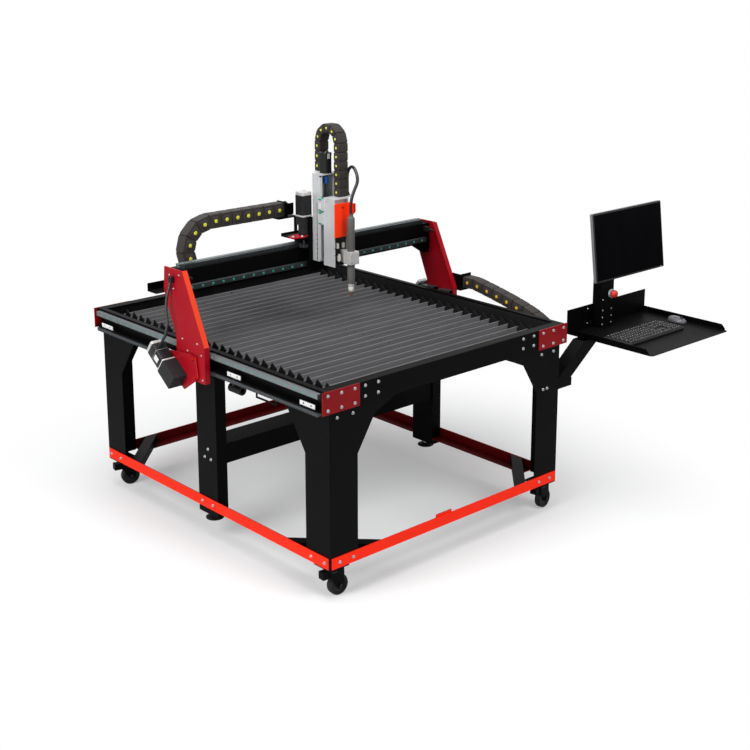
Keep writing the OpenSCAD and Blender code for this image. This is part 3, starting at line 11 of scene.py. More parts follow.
import bmesh
import bpy
import numpy as np
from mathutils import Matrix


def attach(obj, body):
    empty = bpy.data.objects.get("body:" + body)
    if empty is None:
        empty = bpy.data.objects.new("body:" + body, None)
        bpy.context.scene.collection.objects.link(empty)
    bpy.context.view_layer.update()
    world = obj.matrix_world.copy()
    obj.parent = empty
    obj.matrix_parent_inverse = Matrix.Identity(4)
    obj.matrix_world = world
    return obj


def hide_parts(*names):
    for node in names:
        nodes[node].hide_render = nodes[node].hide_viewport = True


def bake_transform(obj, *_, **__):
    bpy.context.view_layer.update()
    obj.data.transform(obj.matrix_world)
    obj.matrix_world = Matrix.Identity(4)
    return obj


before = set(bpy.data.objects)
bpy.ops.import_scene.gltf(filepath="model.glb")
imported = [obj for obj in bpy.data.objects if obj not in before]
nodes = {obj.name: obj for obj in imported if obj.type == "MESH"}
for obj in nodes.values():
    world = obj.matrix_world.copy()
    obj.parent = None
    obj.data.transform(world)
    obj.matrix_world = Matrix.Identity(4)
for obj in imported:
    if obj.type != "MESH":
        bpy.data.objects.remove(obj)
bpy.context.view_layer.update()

MM = 0.001

# %% [markdown]
# The camera stands where the photographer stood: front left of the table, higher than the gantry.
# A longish lens keeps the legs nearly parallel, and a shift centres the table without more tilt.

# %% Camera
scene = bpy.context.scene
lens = bpy.data.cameras.new("front_left_camera")
lens.lens, lens.sensor_width, lens.shift_y = 64.16, 36.0, -0.15
viewer = bpy.data.objects.new("front_left_camera", lens)
viewer.location = (-4.198, -4.964, 2.811)
viewer.rotation_euler = (math.radians(76.5), 0.0, math.radians(-42.4))
scene.collection.objects.link(viewer)
scene.camera = viewer
scene.view_settings.view_transform = "Standard"
print("camera at", tuple(viewer.location))

# %% [markdown]
# Finishes are sums on textures. Adding each Math node by hand hides the idea, so a small class wraps a
# socket: writing `1 - mask` or `0.4 + 0.1 * grain` adds the nodes. Everything else comes from its one
# method `node`, which sets a node up first and feeds its sockets afterwards.

# %% A socket that does sums
class Wire:
    """One socket of a finish; arithmetic on it adds Math nodes to the same finish."""

    def __init__(self, tree, socket=None):
        self.tree, self.socket = tree, socket

    def node(self, kind, feed=(), out=0, **settings):
        """A new node: its settings first, then the numbers or wires of its sockets."""
        made = self.tree.nodes.new(kind)
        for key, value in settings.items():
            setattr(made, key, value)
        for key, value in dict(feed).items():
            if isinstance(value, Wire):
                self.tree.links.new(value.socket, made.inputs[key])
            else:
                made.inputs[key].default_value = value
        return Wire(self.tree, made.outputs[out])

    def math(self, operation, first, second=0.0):
        return self.node("ShaderNodeMath", {0: first, 1: second}, operation=operation)

    def __add__(self, other):
        return self.math("ADD", self, other)

    def __sub__(self, other):
        return self.math("SUBTRACT", self, other)

    def __rsub__(self, other):
        return self.math("SUBTRACT", other, self)

    def __mul__(self, other):
        return self.math("MULTIPLY", self, other)

    def __gt__(self, other):
        return self.math("GREATER_THAN", self, other)

    __radd__, __rmul__ = __add__, __mul__

    def part(self, axis):
        """A vector's part along one axis."""
        return self.node("ShaderNodeSeparateXYZ", {0: self}, out=axis)

    def clipped(self):
        """The value held between nothing and one."""
        return self.node("ShaderNodeClamp", {"Value": self})

    def tone(self, dark, light):
        """A colour between two, by this wire as the share of the second."""
        return self.node("ShaderNodeMix", {0: self, 6: dark, 7: light}, out=2, data_type="RGBA")

print("sums on sockets ready")

# %% [markdown]
# Every finish on the table starts alike: a material, its shader and the piece's own coordinates. A few
# helpers turn screen colours into linear ones, feed sockets and lay noise and relief, so that a recipe
# is only a few lines.

# %% Finish helpers
def hue(code, strength=1.0):
    """A screen colour such as #8a1016 as the linear colour that a shader wants."""
    channel = np.array([int(code[i:i + 2], 16) for i in (1, 3, 5)]) / 255
    linear = np.where(channel <= 0.04045, channel / 12.92, ((channel + 0.055) / 1.055) ** 2.4)
    return (*(linear * strength).tolist(), 1.0)


def finish(name):
    """A new material with its shader and a wire that carries the piece's own coordinates."""
    paint = bpy.data.materials.new(name)
    paint.use_nodes = True
    tree = paint.node_tree
    shader = tree.nodes["Principled BSDF"]
    where = Wire(tree).node("ShaderNodeTexCoord", out="Object")
    return paint, shader, where


def feed(shader, **sockets):
    """Numbers go on the shader's own sockets, wires are linked to them."""
    for name, value in sockets.items():
        socket = shader.inputs[name.replace("_", " ")]
        if isinstance(value, Wire):
            value.tree.links.new(value.socket, socket)
        else:
            socket.default_value = value


def noise(where, scale, detail=2.0, stretch=(1.0, 1.0, 1.0)):
    """Cloud noise of so many blobs a metre, drawn out along the axes with a small stretch."""
    placed = where.node("ShaderNodeMapping", {"Vector": where, "Scale": stretch})
    return where.node("ShaderNodeTexNoise", {"Vector": placed, "Scale": scale, "Detail": detail})


def relief(where, height, depth):
    """Small hills and hollows, depth metres high, from a height wire."""
    return where.node("ShaderNodeBump", {"Height": height, "Distance": depth, "Strength": 1.0})

print("finish helpers ready")

# %% [markdown]
# The table is powder coated: a melted plastic film with a fine orange peel and very even colour. The
# peel is a bump of about a millimetre's grain, and a slow noise keeps the film's gloss from being dead
# even. The reds are the same film in another pigment, so one function makes them all. Level surfaces
# gather a breath of dust, found from the face's own upward direction. The lower rails' faces that look
# inwards are painted with shade, a dark red for the shadow under the table, and the left gantry plate's
# slanted front flange is painted with light, a brighter red for the lamps above and in front.

# %% Powder coat
# The second colour is painted shade: the dark red of the lower rails' faces that look inwards, under the
# table.
DUST, INNER_SHADE = "#8d8c88", "#6a060b"
FRAME_HALF = (0.7505, 0.9005)


def powder_coat(name, pigment, rough, level, dust=0.03, outer=None, front=None):
    """Film colour = pigment drifting by a tenth, then dust on level faces. With outer, a frame's half
    sizes in metres, inward faces inside them get painted shade; front paints a highlight on the left flange."""
    paint, shader, where = finish(name)
    drift, peel = noise(where, 2.3, 4.0), noise(where, 620.0, 1.0)
    normal = where.node("ShaderNodeNewGeometry", out="Normal")
    up = normal.part(2)
    film = drift.tone(hue(pigment, 0.86), hue(pigment, 1.12))
    # Painted shade: faces inside the frame that look inwards take the dark red, for the shadow under the
    # table.
    if outer:
        past = [where.math("ABSOLUTE", where.part(axis)) > half for axis, half in enumerate(outer)]
        flat = where.node("ShaderNodeVectorMath", {0: where, 1: (1, 1, 0)}, operation="MULTIPLY")
        outward = where.node("ShaderNodeVectorMath", {0: normal, 1: flat}, out="Value",
                             operation="DOT_PRODUCT")
        film = (past[0] + past[1] + (outward > 0.05)).clipped().tone(hue(INNER_SHADE), film)
    # Painted highlight: the left plate's faces that look to the front and a little up take a brighter red for
    # the lamps' light.
    if front:
        ahead, right = ((-0.6 - normal.part(1)) * 4.0).clipped(), where.part(0) > 0.0
        film = (ahead * (1 - right) * (up > 0.05)).tone(film, hue(front))
    settled = ((up - 0.6) * 2.5).clipped() * (0.4 + noise(where, 9.0, 5.0)) * dust
    feed(shader, Base_Color=settled.clipped().tone(film, hue(DUST)),
         Roughness=rough - 0.09 + 0.16 * drift, Normal=relief(where, peel, 0.00012),
         Specular_IOR_Level=level)
    return paint

coat_black = powder_coat("coat_black", "#040404", 0.5, 0.045, 0.008)
coat_beam = powder_coat("coat_beam", "#040404", 0.48, 0.04, 0.005)
# The lower rails' inward faces carry painted shade.
coat_rail_red = powder_coat("coat_rail_red", "#ff2808", 0.45, 0.08, 0.01, FRAME_HALF)
coat_corner_red = powder_coat("coat_corner_red", "#80080e", 0.4, 0.1, 0.01)
# The front colour is a painted highlight on the left plate's slanted front flange.
coat_gantry_red = powder_coat("coat_gantry_red", "#990b1a", 0.4, 0.1, 0.01, front="#d63c1e")
coat_orange = powder_coat("coat_orange", "#ff3a10", 0.42, 0.2, 0.01)
coat_white = powder_coat("coat_white", "#e9e9e7", 0.45, 0.4)
print("powder coats mixed")

# %% [markdown]
# Bare metals differ by how they were worked. Rails are ground along their length, which leaves fine
# lines; the lift's aluminium is extruded; slats and combs still wear the blue-grey scale of the rolling
# mill. Stretching a noise along one axis gives the lines, and the same noise moves the roughness.

# %% Bare metals
def drawn_out(axis, share):
    """Scales of one, but a small share along the axis where a noise's blobs become lines."""
    scales = [1.0, 1.0, 1.0]
    scales[axis] = share
    return scales


def worked_metal(name, colour, rough, along, lines=420.0, metal=0.7):
    """Metal with lines along one axis (0, 1 or 2): a noise stretched there shades colour and gloss."""
    paint, shader, where = finish(name)
    grain, cloud = noise(where, lines, 2.0, drawn_out(along, 0.02)), noise(where, 11.0, 3.0)
    mixed = 0.6 * grain + 0.4 * cloud
    feed(shader, Base_Color=mixed.tone(hue(colour, 0.68), hue(colour, 1.16)),
         Roughness=rough - 0.1 + 0.2 * mixed, Metallic=metal, Normal=relief(where, grain, 0.00005))
    return paint

steel_y = worked_metal("ground_steel_y", "#7c7f82", 0.34, 1)
steel_x = worked_metal("ground_steel_x", "#363b3d", 0.36, 0, metal=0.6)
steel_top = worked_metal("ground_steel_top", "#7d8183", 0.36, 0, metal=0.6)
rack_steel = worked_metal("rack_steel", "#44484b", 0.4, 1)
lift_alloy = worked_metal("lift_alloy", "#d9dadb", 0.4, 2, metal=0.4)
cast_alloy = worked_metal("cast_alloy", "#c9c8c5", 0.45, 2, 160.0, 0.4)
zinc_bolt = worked_metal("zinc_bolt", "#b2b4b5", 0.34, 2, 200.0)
copper_tip = worked_metal("copper_tip", "#c98b76", 0.35, 2, 300.0, 0.8)
blue_anodise = worked_metal("blue_anodise", "#2d62b5", 0.3, 2, 300.0, 0.6)
block_steel = worked_metal("block_steel", "#4c5053", 0.38, 1, 300.0)


def mill_scale(name, colour, along):
    """Rolled plate: broad stains, streaks along the rolling and a little rust-brown in the stains."""
    paint, shader, where = finish(name)
    streak, stain = noise(where, 60.0, 4.0, drawn_out(along, 0.06)), noise(where, 5.0, 6.0)
    plate = streak.tone(hue(colour, 0.62), hue(colour, 1.3))
    rusty = ((stain - 0.56) * 5.0).clipped() * 0.22
    feed(shader, Base_Color=rusty.tone(plate, hue("#4d4038")), Roughness=0.5 + 0.2 * stain,
         Metallic=0.25, Normal=relief(where, streak, 0.0002), Specular_IOR_Level=0.3)
    return paint

slat_scale = mill_scale("slat_scale", "#7b7b7d", 0)
comb_scale = mill_scale("comb_scale", "#060607", 1)
pan_scale = mill_scale("pan_scale", "#0c0c0d", 0)
print("metals ready")

# %% [markdown]
# Moulded plastic and rubber have a spark-eroded grain from their mould: tiny pits, and gloss that
# follows them. Screen glass is the opposite, almost black and smooth, with only a trace of wiping.
# One recipe makes every plastic; the glass has its own, because it has no pits at all.

# %% Plastics and glass
def moulded(name, colour, rough, level=0.3, pits=900.0, depth=0.00006):
    """Plastic: colour within a few percent, pitted by a fine noise that also roughens it."""
    paint, shader, where = finish(name)
    pit, cloud = noise(where, pits, 1.0), noise(where, 14.0, 3.0)
    feed(shader, Base_Color=cloud.tone(hue(colour, 0.85), hue(colour, 1.15)),
         Roughness=rough - 0.06 + 0.12 * pit, Normal=relief(where, pit, depth), Specular_IOR_Level=level)
    return paint

chain_plastic = moulded("chain_plastic", "#35312f", 0.55, 0.14)
dot_yellow = moulded("dot_yellow", "#cccb3a", 0.45)
dot_amber = moulded("dot_amber", "#d8a92c", 0.45)
motor_black = moulded("motor_black", "#141416", 0.4)
gearbox_black = moulded("gearbox_black", "#1b1b1d", 0.46, 0.25, 500.0, 0.0001)
hose_black = moulded("hose_black", "#18181a", 0.3, 0.5)
torch_grey = moulded("torch_grey", "#565451", 0.45, 0.25)
cup_white = moulded("cup_white", "#cfcac4", 0.4, 0.4)
tread_black = moulded("tread_black", "#161617", 0.55, 0.2, 300.0, 0.0002)
fitting_black = moulded("fitting_black", "#131315", 0.5, 0.25)
cap_teal = moulded("cap_teal", "#2c8f78", 0.4, 0.4)
button_red = moulded("button_red", "#e0301c", 0.35, 0.4)
key_black = moulded("key_black", "#1f1f21", 0.5)
key_mark = moulded("key_mark", "#bdbdbb", 0.5)
desk_black = moulded("desk_black", "#161618", 0.42)
mouse_grey = moulded("mouse_grey", "#55565a", 0.28, 0.5)
rim_silver = moulded("rim_silver", "#6f7072", 0.35)
sticker_white = moulded("sticker_white", "#d9d9d6", 0.5)


def screen_glass(name):
    """Dark glass: black with a wiped film that only shows in its gloss."""
    paint, shader, where = finish(name)
    wiped = noise(where, 7.0, 3.0, (1.0, 1.0, 0.3))
    feed(shader, Base_Color=wiped.tone(hue("#040405"), hue("#08080a")), Roughness=0.1 + 0.14 * wiped,
         Specular_IOR_Level=0.02)
    return paint

glass_dark = screen_glass("glass_dark")
print(len(bpy.data.materials), "finishes")

# %% [markdown]
# Plates, beams, legs and trays come out of the CAD with the right shape, so they keep their mesh and
# only change their coat. One table from coat to nodes keeps the whole choice in sight.

# %% Dress the CAD nodes
coats = {
    coat_black: "legs side_channels corner_braces mid_cross_beam caster_plates y_chain_tray station_arm "
                "monitor_post x_chain_tray carriage_plates caster_fork_fl caster_fork_fr caster_fork_bl "
                "caster_fork_br",
    coat_beam: "end_beams gantry_beam station_tray",
    coat_rail_red: "lower_rails",
    coat_corner_red: "corner_plates",
    coat_gantry_red: "gantry_plates drive_pivot_plates",
    coat_white: "rack_clamp_plates",
    rack_steel: "side_racks left_pinion right_pinion beam_rack x_pinion",
    block_steel: "gantry_bearings",
    lift_alloy: "lift_channel torch_slide",
    slat_scale: "slats",
    comb_scale: "slat_combs",
    pan_scale: "water_pan",
    fitting_black: "drain_fitting",
    gearbox_black: "side_gearboxes",
}
for coat, names in coats.items():
    for name in names.split():
        mesh = nodes[name].data
        mesh.materials.clear()
        mesh.materials.append(coat)
print(sum(len(n.split()) for n in coats.values()), "nodes coated")

# %% [markdown]
# New pieces are worked out with numpy. A shape is a pair: an array of points and a list of face
# arrays. Motors, wheels, bolts and the torch are lathe work, so the first maker turns a profile round
# an axis. Blender's spin tool could do it too, but a grid of points is a single line of sums.

# %% Turned shapes
RIGHT, LEFT, BACK, FRONT, UP = (1, 0, 0), (-1, 0, 0), (0, 1, 0), (0, -1, 0), (0, 0, 1)


def unit(v):
    """The same direction with length one, row by row."""
    v = np.asarray(v, float)
    return v / np.linalg.norm(v, axis=-1, keepdims=True)


def rings(points):
    """Rings of points (rows, columns, 3) joined by quads, with a flat cap on the first and last."""
    rows, cols = points.shape[:2]
    i, j = np.meshgrid(np.arange(rows - 1), np.arange(cols), indexing="ij")
    k = (j + 1) % cols
    quads = np.stack([i * cols + j, i * cols + k, (i + 1) * cols + k, (i + 1) * cols + j], -1)
    caps = [np.arange(cols)[None, ::-1], (rows - 1) * cols + np.arange(cols)[None]]
    return points.reshape(-1, 3), [quads.reshape(-1, 4), *caps]


def across(axis):
    """Two directions square to an axis and to each other, and the axis itself."""
    n = unit(axis)
    u = unit(np.cross(n, UP if abs(n[2]) < 0.9 else RIGHT))
    return u, np.cross(n, u), n


def turned(profile, at=(0, 0, 0), axis=UP, sides=36):
    """Each profile point (radius, height) goes once round: at + height*n + radius*(cos a*u + sin a*v)."""
    radius, height = np.array(profile, float).T[:, :, None, None]
    a = np.linspace(0, 2 * np.pi, sides, endpoint=False)[:, None]
    u, v, n = across(axis)
    return rings(np.asarray(at) + height * n + np.maximum(radius, 0.05) * (np.cos(a) * u + np.sin(a) * v))

print("turned shapes ready")

# %% [markdown]
# Plates, blocks and bars are outlines carried along their normal. A bevel is the outline pulled in a
# little at its first and last station, which catches the light as a filed edge does.

# %% Carried outlines
def carried(outline, stations, at=(0, 0, 0), ea=RIGHT, eb=BACK):
    """An outline (a, b) at each station (height, inset): pulled in by inset along its mitred corners."""
    p = np.array(outline, float)
    after = np.roll(p, -1, 0)
    if (p[:, 0] * after[:, 1] - after[:, 0] * p[:, 1]).sum() < 0:
        p = p[::-1]
        after = np.roll(p, -1, 0)
    out = unit(after - p)[:, ::-1] * (1, -1)
    was = np.roll(out, 1, 0)
    mitre = (out + was) / (1 + (out * was).sum(1, keepdims=True))
    height, inset = np.array(stations, float).T[:, :, None, None]
    flat = p - inset * mitre
    ea, eb = np.asarray(ea, float), np.asarray(eb, float)
    return rings(np.asarray(at) + flat[..., :1] * ea + flat[..., 1:] * eb + height * np.cross(ea, eb))


def rounded(w, h, r, steps=3):
    """A rectangle's outline with quarter-circle corners of radius r."""
    turn = np.repeat(np.arange(4), steps + 1) * np.pi / 2
    a = turn + np.tile(np.linspace(0, np.pi / 2, steps + 1), 4)
    corner = np.stack([np.sign(np.cos(turn + np.pi / 4)) * (w / 2 - r),
                       np.sign(np.sin(turn + np.pi / 4)) * (h / 2 - r)], 1)
    return corner + r * np.stack([np.cos(a), np.sin(a)], 1)


def bevelled(low, high, bevel):
    """Four stations: pulled in by the bevel at both ends, full from one bevel's height to the other's."""
    return [(low, bevel), (low + bevel, 0), (high - bevel, 0), (high, bevel)]


AXES = {0: (BACK, UP), 1: (UP, RIGHT), 2: (RIGHT, BACK)}


def slab(low, high, axis, r, bevel=0.8):
    """A box with rounded edges along one axis and bevelled ends."""
    low, high = np.asarray(low, float), np.asarray(high, float)
    mid, size = (low + high) / 2, high - low
    ea, eb = AXES[axis]
    base = mid.copy()
    base[axis] = low[axis]
    outline = rounded(size[np.argmax(ea)], size[np.argmax(eb)], r)
    return carried(outline, bevelled(0, size[axis], bevel), base, ea, eb)

print("carried outlines ready")

# %% [markdown]
# The machine repeats itself: bolts by the dozen, and a left side like the right. A shape is made once
# and its points go to every place in one sum. A piece then joins shapes into one Blender object, and
# says which body it rides on and which CAD nodes it stands for.

# %% Copies and pieces
def repeated(faces, count, size):
    """Face arrays for so many copies of a shape that has size points: each copy counts on from the last."""
    step = (np.arange(count) * size)[:, None, None]
    return [(f[None] + step).reshape(-1, f.shape[1]) for f in faces]


def copies(shape, places):
    """One shape at many places: all its points turned and moved by every 3x4 place in one sum."""
    v, faces = shape
    places = np.array(places, float)
    moved = np.einsum("mij,kj->mki", places[:, :, :3], v) + places[:, None, :, 3]
    return moved.reshape(-1, 3), repeated(faces, len(places), len(v))


def mirrored(shape, *flips):
    """The shape together with its mirror images; a flip is -1 on the axis that changes sign."""
    return copies(shape, [np.column_stack([np.diag(f), (0, 0, 0)]) for f in ((1, 1, 1), *flips)])


LEFT_RIGHT, FRONT_BACK, BOTH, TOP_BOTTOM = (-1, 1, 1), (1, -1, 1), (-1, -1, 1), (1, 1, -1)


def both_sides(parts):
    """Every (shape, finish) pair with its mirror image across the table."""
    return [(mirrored(shape, LEFT_RIGHT), coat) for shape, coat in parts]


def piece(name, parts, body, stands_for):
    """Join (shape, finish) pairs into one object, in metres, with its place in its mesh."""
    points, faces, tags, coats = [], [], [], []
    start = 0
    for (v, groups), coat in parts:
        if coat not in coats:
            coats.append(coat)
        for group in groups:
            faces += (group + start).tolist()
            tags += [coats.index(coat)] * len(group)
        points.append(v)
        start += len(v)
    mesh = bpy.data.meshes.new(name)
    mesh.from_pydata((np.concatenate(points) * MM).tolist(), [], faces)
    mesh.polygons.foreach_set("material_index", tags)
    for coat in coats:
        mesh.materials.append(coat)
    shell = bmesh.new()
    shell.from_mesh(mesh)
    bmesh.ops.recalc_face_normals(shell, faces=shell.faces)
    shell.to_mesh(mesh)
    shell.free()
    mesh.polygons.foreach_set("use_smooth", np.ones(len(mesh.polygons), bool))
    mesh.set_sharp_from_angle(angle=math.radians(33))
    made = bpy.data.objects.new(name, mesh)
    scene.collection.objects.link(made)
    if body:
        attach(made, body)
    if stands_for:
        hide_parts(*stands_for)
    print(name, len(mesh.polygons), "faces")
    return made

print("copies and pieces ready")

# %% [markdown]
# Cords come first, because they have a real length. A cord is a circle carried along a smooth curve
# through a few points of its route. A Blender curve with a bevel would look alike, but here the line is
# also walked at even steps, so that its length can be measured and printed.

# %% Cord makers
def smoothed(points, n):
    """A curve through the points: each span is a cubic whose ends lean along their neighbours."""
    p = np.array(points, float)
    a, b, c, d = np.vstack([p[:1], p[:-2]]), p[:-1], p[1:], np.vstack([p[2:], p[-1:]])
    t = (np.arange(n) / n)[None, :, None]
    a, b, c, d = (q[:, None] for q in (a, b, c, d))
    q = 0.5 * (2 * b + (c - a) * t + (2 * a - 5 * b + 4 * c - d) * t ** 2 + (3 * b - a - 3 * c + d) * t ** 3)
    return np.vstack([q.reshape(-1, 3), p[-1:]])


def walked(line):
    """The distance gone at each point of a line."""
    return np.append(0, np.cumsum(np.linalg.norm(np.diff(line, axis=0), axis=1)))


def piped(path, radius, sides):
    """A circle carried along a path, square to it; the radius changes from point to point."""
    t = unit(np.gradient(path, axis=0))
    u = unit(np.cross(RIGHT, t))
    v = np.cross(t, u)
    a = np.linspace(0, 2 * np.pi, sides, endpoint=False)[:, None]
    return rings(path[:, None] + radius[:, None, None] * (np.cos(a) * u[:, None] + np.sin(a) * v[:, None]))


def hose(name, route, wide, body, node, ripple=0.0):
    """A tube along a smooth route whose radius ripples by a cosine of the distance gone."""
    step, wave = 1.1, 4.4
    fine = smoothed(route, 60)
    gone = walked(fine)
    even = np.linspace(0, gone[-1], int(gone[-1] / step))
    line = np.stack([np.interp(even, gone, fine[:, i]) for i in range(3)], 1)
    radius = wide / 2 - ripple + ripple * np.cos(even * 2 * np.pi / wave)
    made = piece(name, [(piped(line, radius, 14), hose_black)], body, (node,))
    print(name, "is", round(walked(line)[-1]), "mm long")

print("cord makers ready")

# %% [markdown]
# The torch lead is a stiff hose that leaves the top of the torch, bows over and goes down into the gland
# on the slide. Its route is the drawing's own, a hair clear of both ends.

# %% Torch lead
TORCH, TORCH_TOP = (32, -157), 1518
GLAND, GLAND_TOP = (99, -55), 1604
CLEAR = 0.2
lead_bows = ((*TORCH, 20), (*TORCH, 42), (37, -158.5, 78), (49, -163, 115), (61, -167, 143), (66, -168, 166),
             (68.2, -160.4, 191.4), (74.2, -139.8, 213), (84, -111.5, 220.9), (93, -83.3, 213),
             (97.8, -62.6, 191.4), (*GLAND, 162), (*GLAND, 120))
lead_route = [(*TORCH, TORCH_TOP + CLEAR), *((x, y, TORCH_TOP + z) for x, y, z in lead_bows),
              (*GLAND, GLAND_TOP + CLEAR)]
hose("torch_lead_hose", lead_route, 16, "torch_lift", "torch_lead")

# %% [markdown]
# Each side motor has a corrugated conduit that comes from a clip on the gantry plate and ends in a plug.
# Its radius ripples along its length. The drive leans, so the route's end is given along its own axes.

# %% Motor conduits
DRIVE_TILT = math.radians(37)
lean = np.array((0, math.cos(DRIVE_TILT), math.sin(DRIVE_TILT)))
rise = np.array((0, -math.sin(DRIVE_TILT), math.cos(DRIVE_TILT)))
drive_axis = np.array((877.5, 80, 846.31))
PLUG_ALONG, PLUG_END = 143, 45
PLATE_X, PLATE_TOP = 828, 1335
conduit_bows = ((10, 124, -50), (14, 132, -90), (26, 138, -140), (40, 126, -195), (48, 108, -250))
conduit_route = [(PLATE_X + x, y, PLATE_TOP + z) for x, y, z in conduit_bows]
conduit_route += [drive_axis + PLUG_ALONG * lean + (PLUG_END + CLEAR + out) * rise for out in (75, 37.5, 0)]
for side, flip in (("right", (1, 1, 1)), ("left", LEFT_RIGHT)):
    hose(f"{side}_conduit", np.array(conduit_route) * flip, 14, "gantry", "motor_conduits",
         0.4)
clip = slab((PLATE_X, 108, 1271), (PLATE_X + 20, 132, 1299), 0, 4, 1.2)
piece("conduit_clip_pair", both_sides([(clip, fitting_black)]), "gantry", ("motor_conduits",))

# %% [markdown]
# Cable chains are rows of plastic links. Each link is drawn once, straight, then laid into its place
# between two pins: a point's share along the link and across it picks a spot in the link's own four
# corners, so links in a bend become wedges just as real ones fan out.

# %% Chain links
def chain_link(length, height, width, dot_r, dot):
    """One straight link about its middle: side plates with a raised rib, lids, a dark core, two dots."""
    edge, rib = width / 2 - 1.5, width / 2
    plate = carried(rounded(length - 2.6, height - 1, height * 0.12), bevelled(0, 5.5, 1), (0, 0, edge - 5.5))
    raised = carried(rounded(length * 0.66, height * 0.66, height * 0.14), [(0, 0), (1, 0.2), (1.5, 1)],
                     (0, 0, edge))
    cap = turned([(0.1, 0), (dot_r, 0), (dot_r, 0.7), (dot_r * 0.78, 1.5), (0.1, 1.8)], (0, 0, rib), sides=16)
    lid = slab((-length / 2 + 1.5, height / 2 - 5, -edge + 4),
               (length / 2 - 1.5, height / 2, edge - 4), 2, 1.0)
    core = slab((-length / 2, -height / 2 + 4, -edge + 3),
                (length / 2, height / 2 - 4, edge - 3), 2, 1.0, 0.3)
    return [(mirrored(plate, TOP_BOTTOM), chain_plastic), (mirrored(raised, TOP_BOTTOM), chain_plastic),
            (mirrored(cap, TOP_BOTTOM), dot), (mirrored(lid, FRONT_BACK), chain_plastic),
            (core, fitting_black)]


def laid(shape, pins, first, last, length, height, put):
    """A straight link's points spread over links first..last: bilinear in each link's four corners."""
    v, faces = shape
    step = unit(np.diff(pins, axis=0))
    slant = unit(np.vstack([step[:1], step[1:] + step[:-1], step[-1:]]))
    half = height / 2 / (slant[1:] * step).sum(1)
    half = np.append(half[:1], half)
    side = np.stack([-slant[:, 1], slant[:, 0]], 1) * half[:, None]
    u, s = v[:, 0] / length + 0.5, v[:, 1] / (height / 2)
    joints = pins[:, None] + s[:, None] * side[:, None]
    near, far = joints[first:last], joints[first + 1:last + 1]
    flat = near + (far - near) * u[:, None]
    points = put(flat, np.broadcast_to(v[:, 2], flat.shape[:2]))
    return points.reshape(-1, 3), repeated(faces, last - first, len(v))


def chain(name, pins, cuts, length, height, width, dot_r, put, dot=dot_yellow):
    """The chain's three stretches as three pieces that stand for its node."""
    link = chain_link(length, height, width, dot_r, dot)
    made = []
    for part, first, last in zip(("moving", "bend", "fixed"), (0, *cuts), (*cuts, len(pins) - 1)):
        shapes = [(laid(shape, pins, first, last, length, height, put), coat) for shape, coat in link]
        made.append(piece(f"{name}_{part}", shapes, None, (name,)))
    return made

print("chain links ready")

# %% [markdown]
# A chain has three stretches: the run that is bolted to the moving part, the bend, and the run on what
# carries it. Real links pass from one run to the other. Here each stretch is its own piece, with its
# place baked into its points.

# %% Three chains
def follow(runs, still, moving, end_fixed, turn, end_moving):
    """Bakes each run's place into its points."""
    end_fixed, turn, end_moving = (np.array(p) for p in (end_fixed, turn, end_moving))
    far = 1000.0 * unit(end_moving - turn)
    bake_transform(runs[0])
    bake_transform(runs[1], still, moving, start=turn - far, end=turn + far)
    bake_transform(runs[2])


def straight(a, b, n):
    """n + 1 pins from a to b."""
    return np.linspace(a, b, n + 1)


def round_bend(centre, r, start, stop, n):
    """The pins inside a bend, between its two ends, at even angles."""
    a = np.radians(np.linspace(start, stop, n + 1)[1:-1])
    return np.asarray(centre) + r * np.stack([np.cos(a), np.sin(a)], 1)


turn, low, high, x_chain_y = -545, 1242, 1502, 238
x_pins = np.vstack([straight((-90, high), (turn, high), 7),
                    round_bend((turn, (low + high) / 2), (high - low) / 2, 90, 270, 6),
                    straight((turn, low), (20, low), 8)])
x_runs = chain("x_chain", x_pins, (7, 13), length=65, height=70, width=64, dot_r=9.5,
               put=lambda p, w: np.stack([p[..., 0], x_chain_y + w, p[..., 1]], -1))
follow(x_runs, "gantry", "carriage", (0.02, 0, 0), (-0.545, 0, 0), (-0.09, 0, 0))

link, y_start, y_chain_x = 72, (-141.3, 1033), 874
slopes = np.radians([0, 10, 11, 12, 13, 15, 18, 26, 50, 90, 130, 165] + [180] * 10)
steps = -link * np.stack([np.cos(slopes), np.sin(slopes)], 1)
y_pins = np.vstack([[0, 0], np.cumsum(steps, 0)]) + y_start
y_runs = chain("y_chain", y_pins, (7, 12), length=link, height=58, width=66, dot_r=9.0,
               put=lambda p, w: np.stack([y_chain_x + w, p[..., 0], p[..., 1]], -1), dot=dot_amber)
follow(y_runs, "table", "gantry", (0, 0.09, 0), (0, -0.64, 0), (0, -0.141, 0))

turn, front, back, z_chain_x = 1853, -60, 85, 53
z_pins = np.vstack([straight((front, 1590), (front, turn), 6),
                    round_bend(((front + back) / 2, turn), (back - front) / 2, 180, 0, 5),
                    straight((back, turn), (back, 1702), 3)])
z_runs = chain("z_chain", z_pins, (6, 11), length=44, height=40, width=62, dot_r=6.0,
               put=lambda p, w: np.stack([z_chain_x + w, p[..., 0], p[..., 1]], -1))
follow(z_runs, "carriage", "torch_lift", (0, 0, 1.702), (0, 0, 1.853), (0, 0, 1.59))

# %% [markdown]
# Bolts show as bright dots all over the table. One flanged hex bolt is turned and carried once, with a
# dish in its head. Every place is a point and the way that the head looks.

# %% Bolts
def hexagon(radius):
    """Six corners, 60 degrees apart."""
    a = np.radians(np.arange(6) * 60)
    return np.stack([np.cos(a), np.sin(a)], 1) * radius


def bolt(d, h):
    """A flange, a chamfered hexagon and a dished top, standing on z = 0."""
    flange = turned([(d * 0.62, 0), (d * 0.62, h * 0.2), (d * 0.5, h * 0.42)], sides=20)
    head = carried(hexagon(d / 2), [(h * 0.2, 0), (h * 0.82, 0), (h, d * 0.09), (h * 0.93, d * 0.2),
                                    (h * 0.6, d * 0.22)])
    return flange, head


def stand(point, axis):
    """The place that puts a shape's own upright along an axis at a point."""
    return np.column_stack([*across(axis), point])


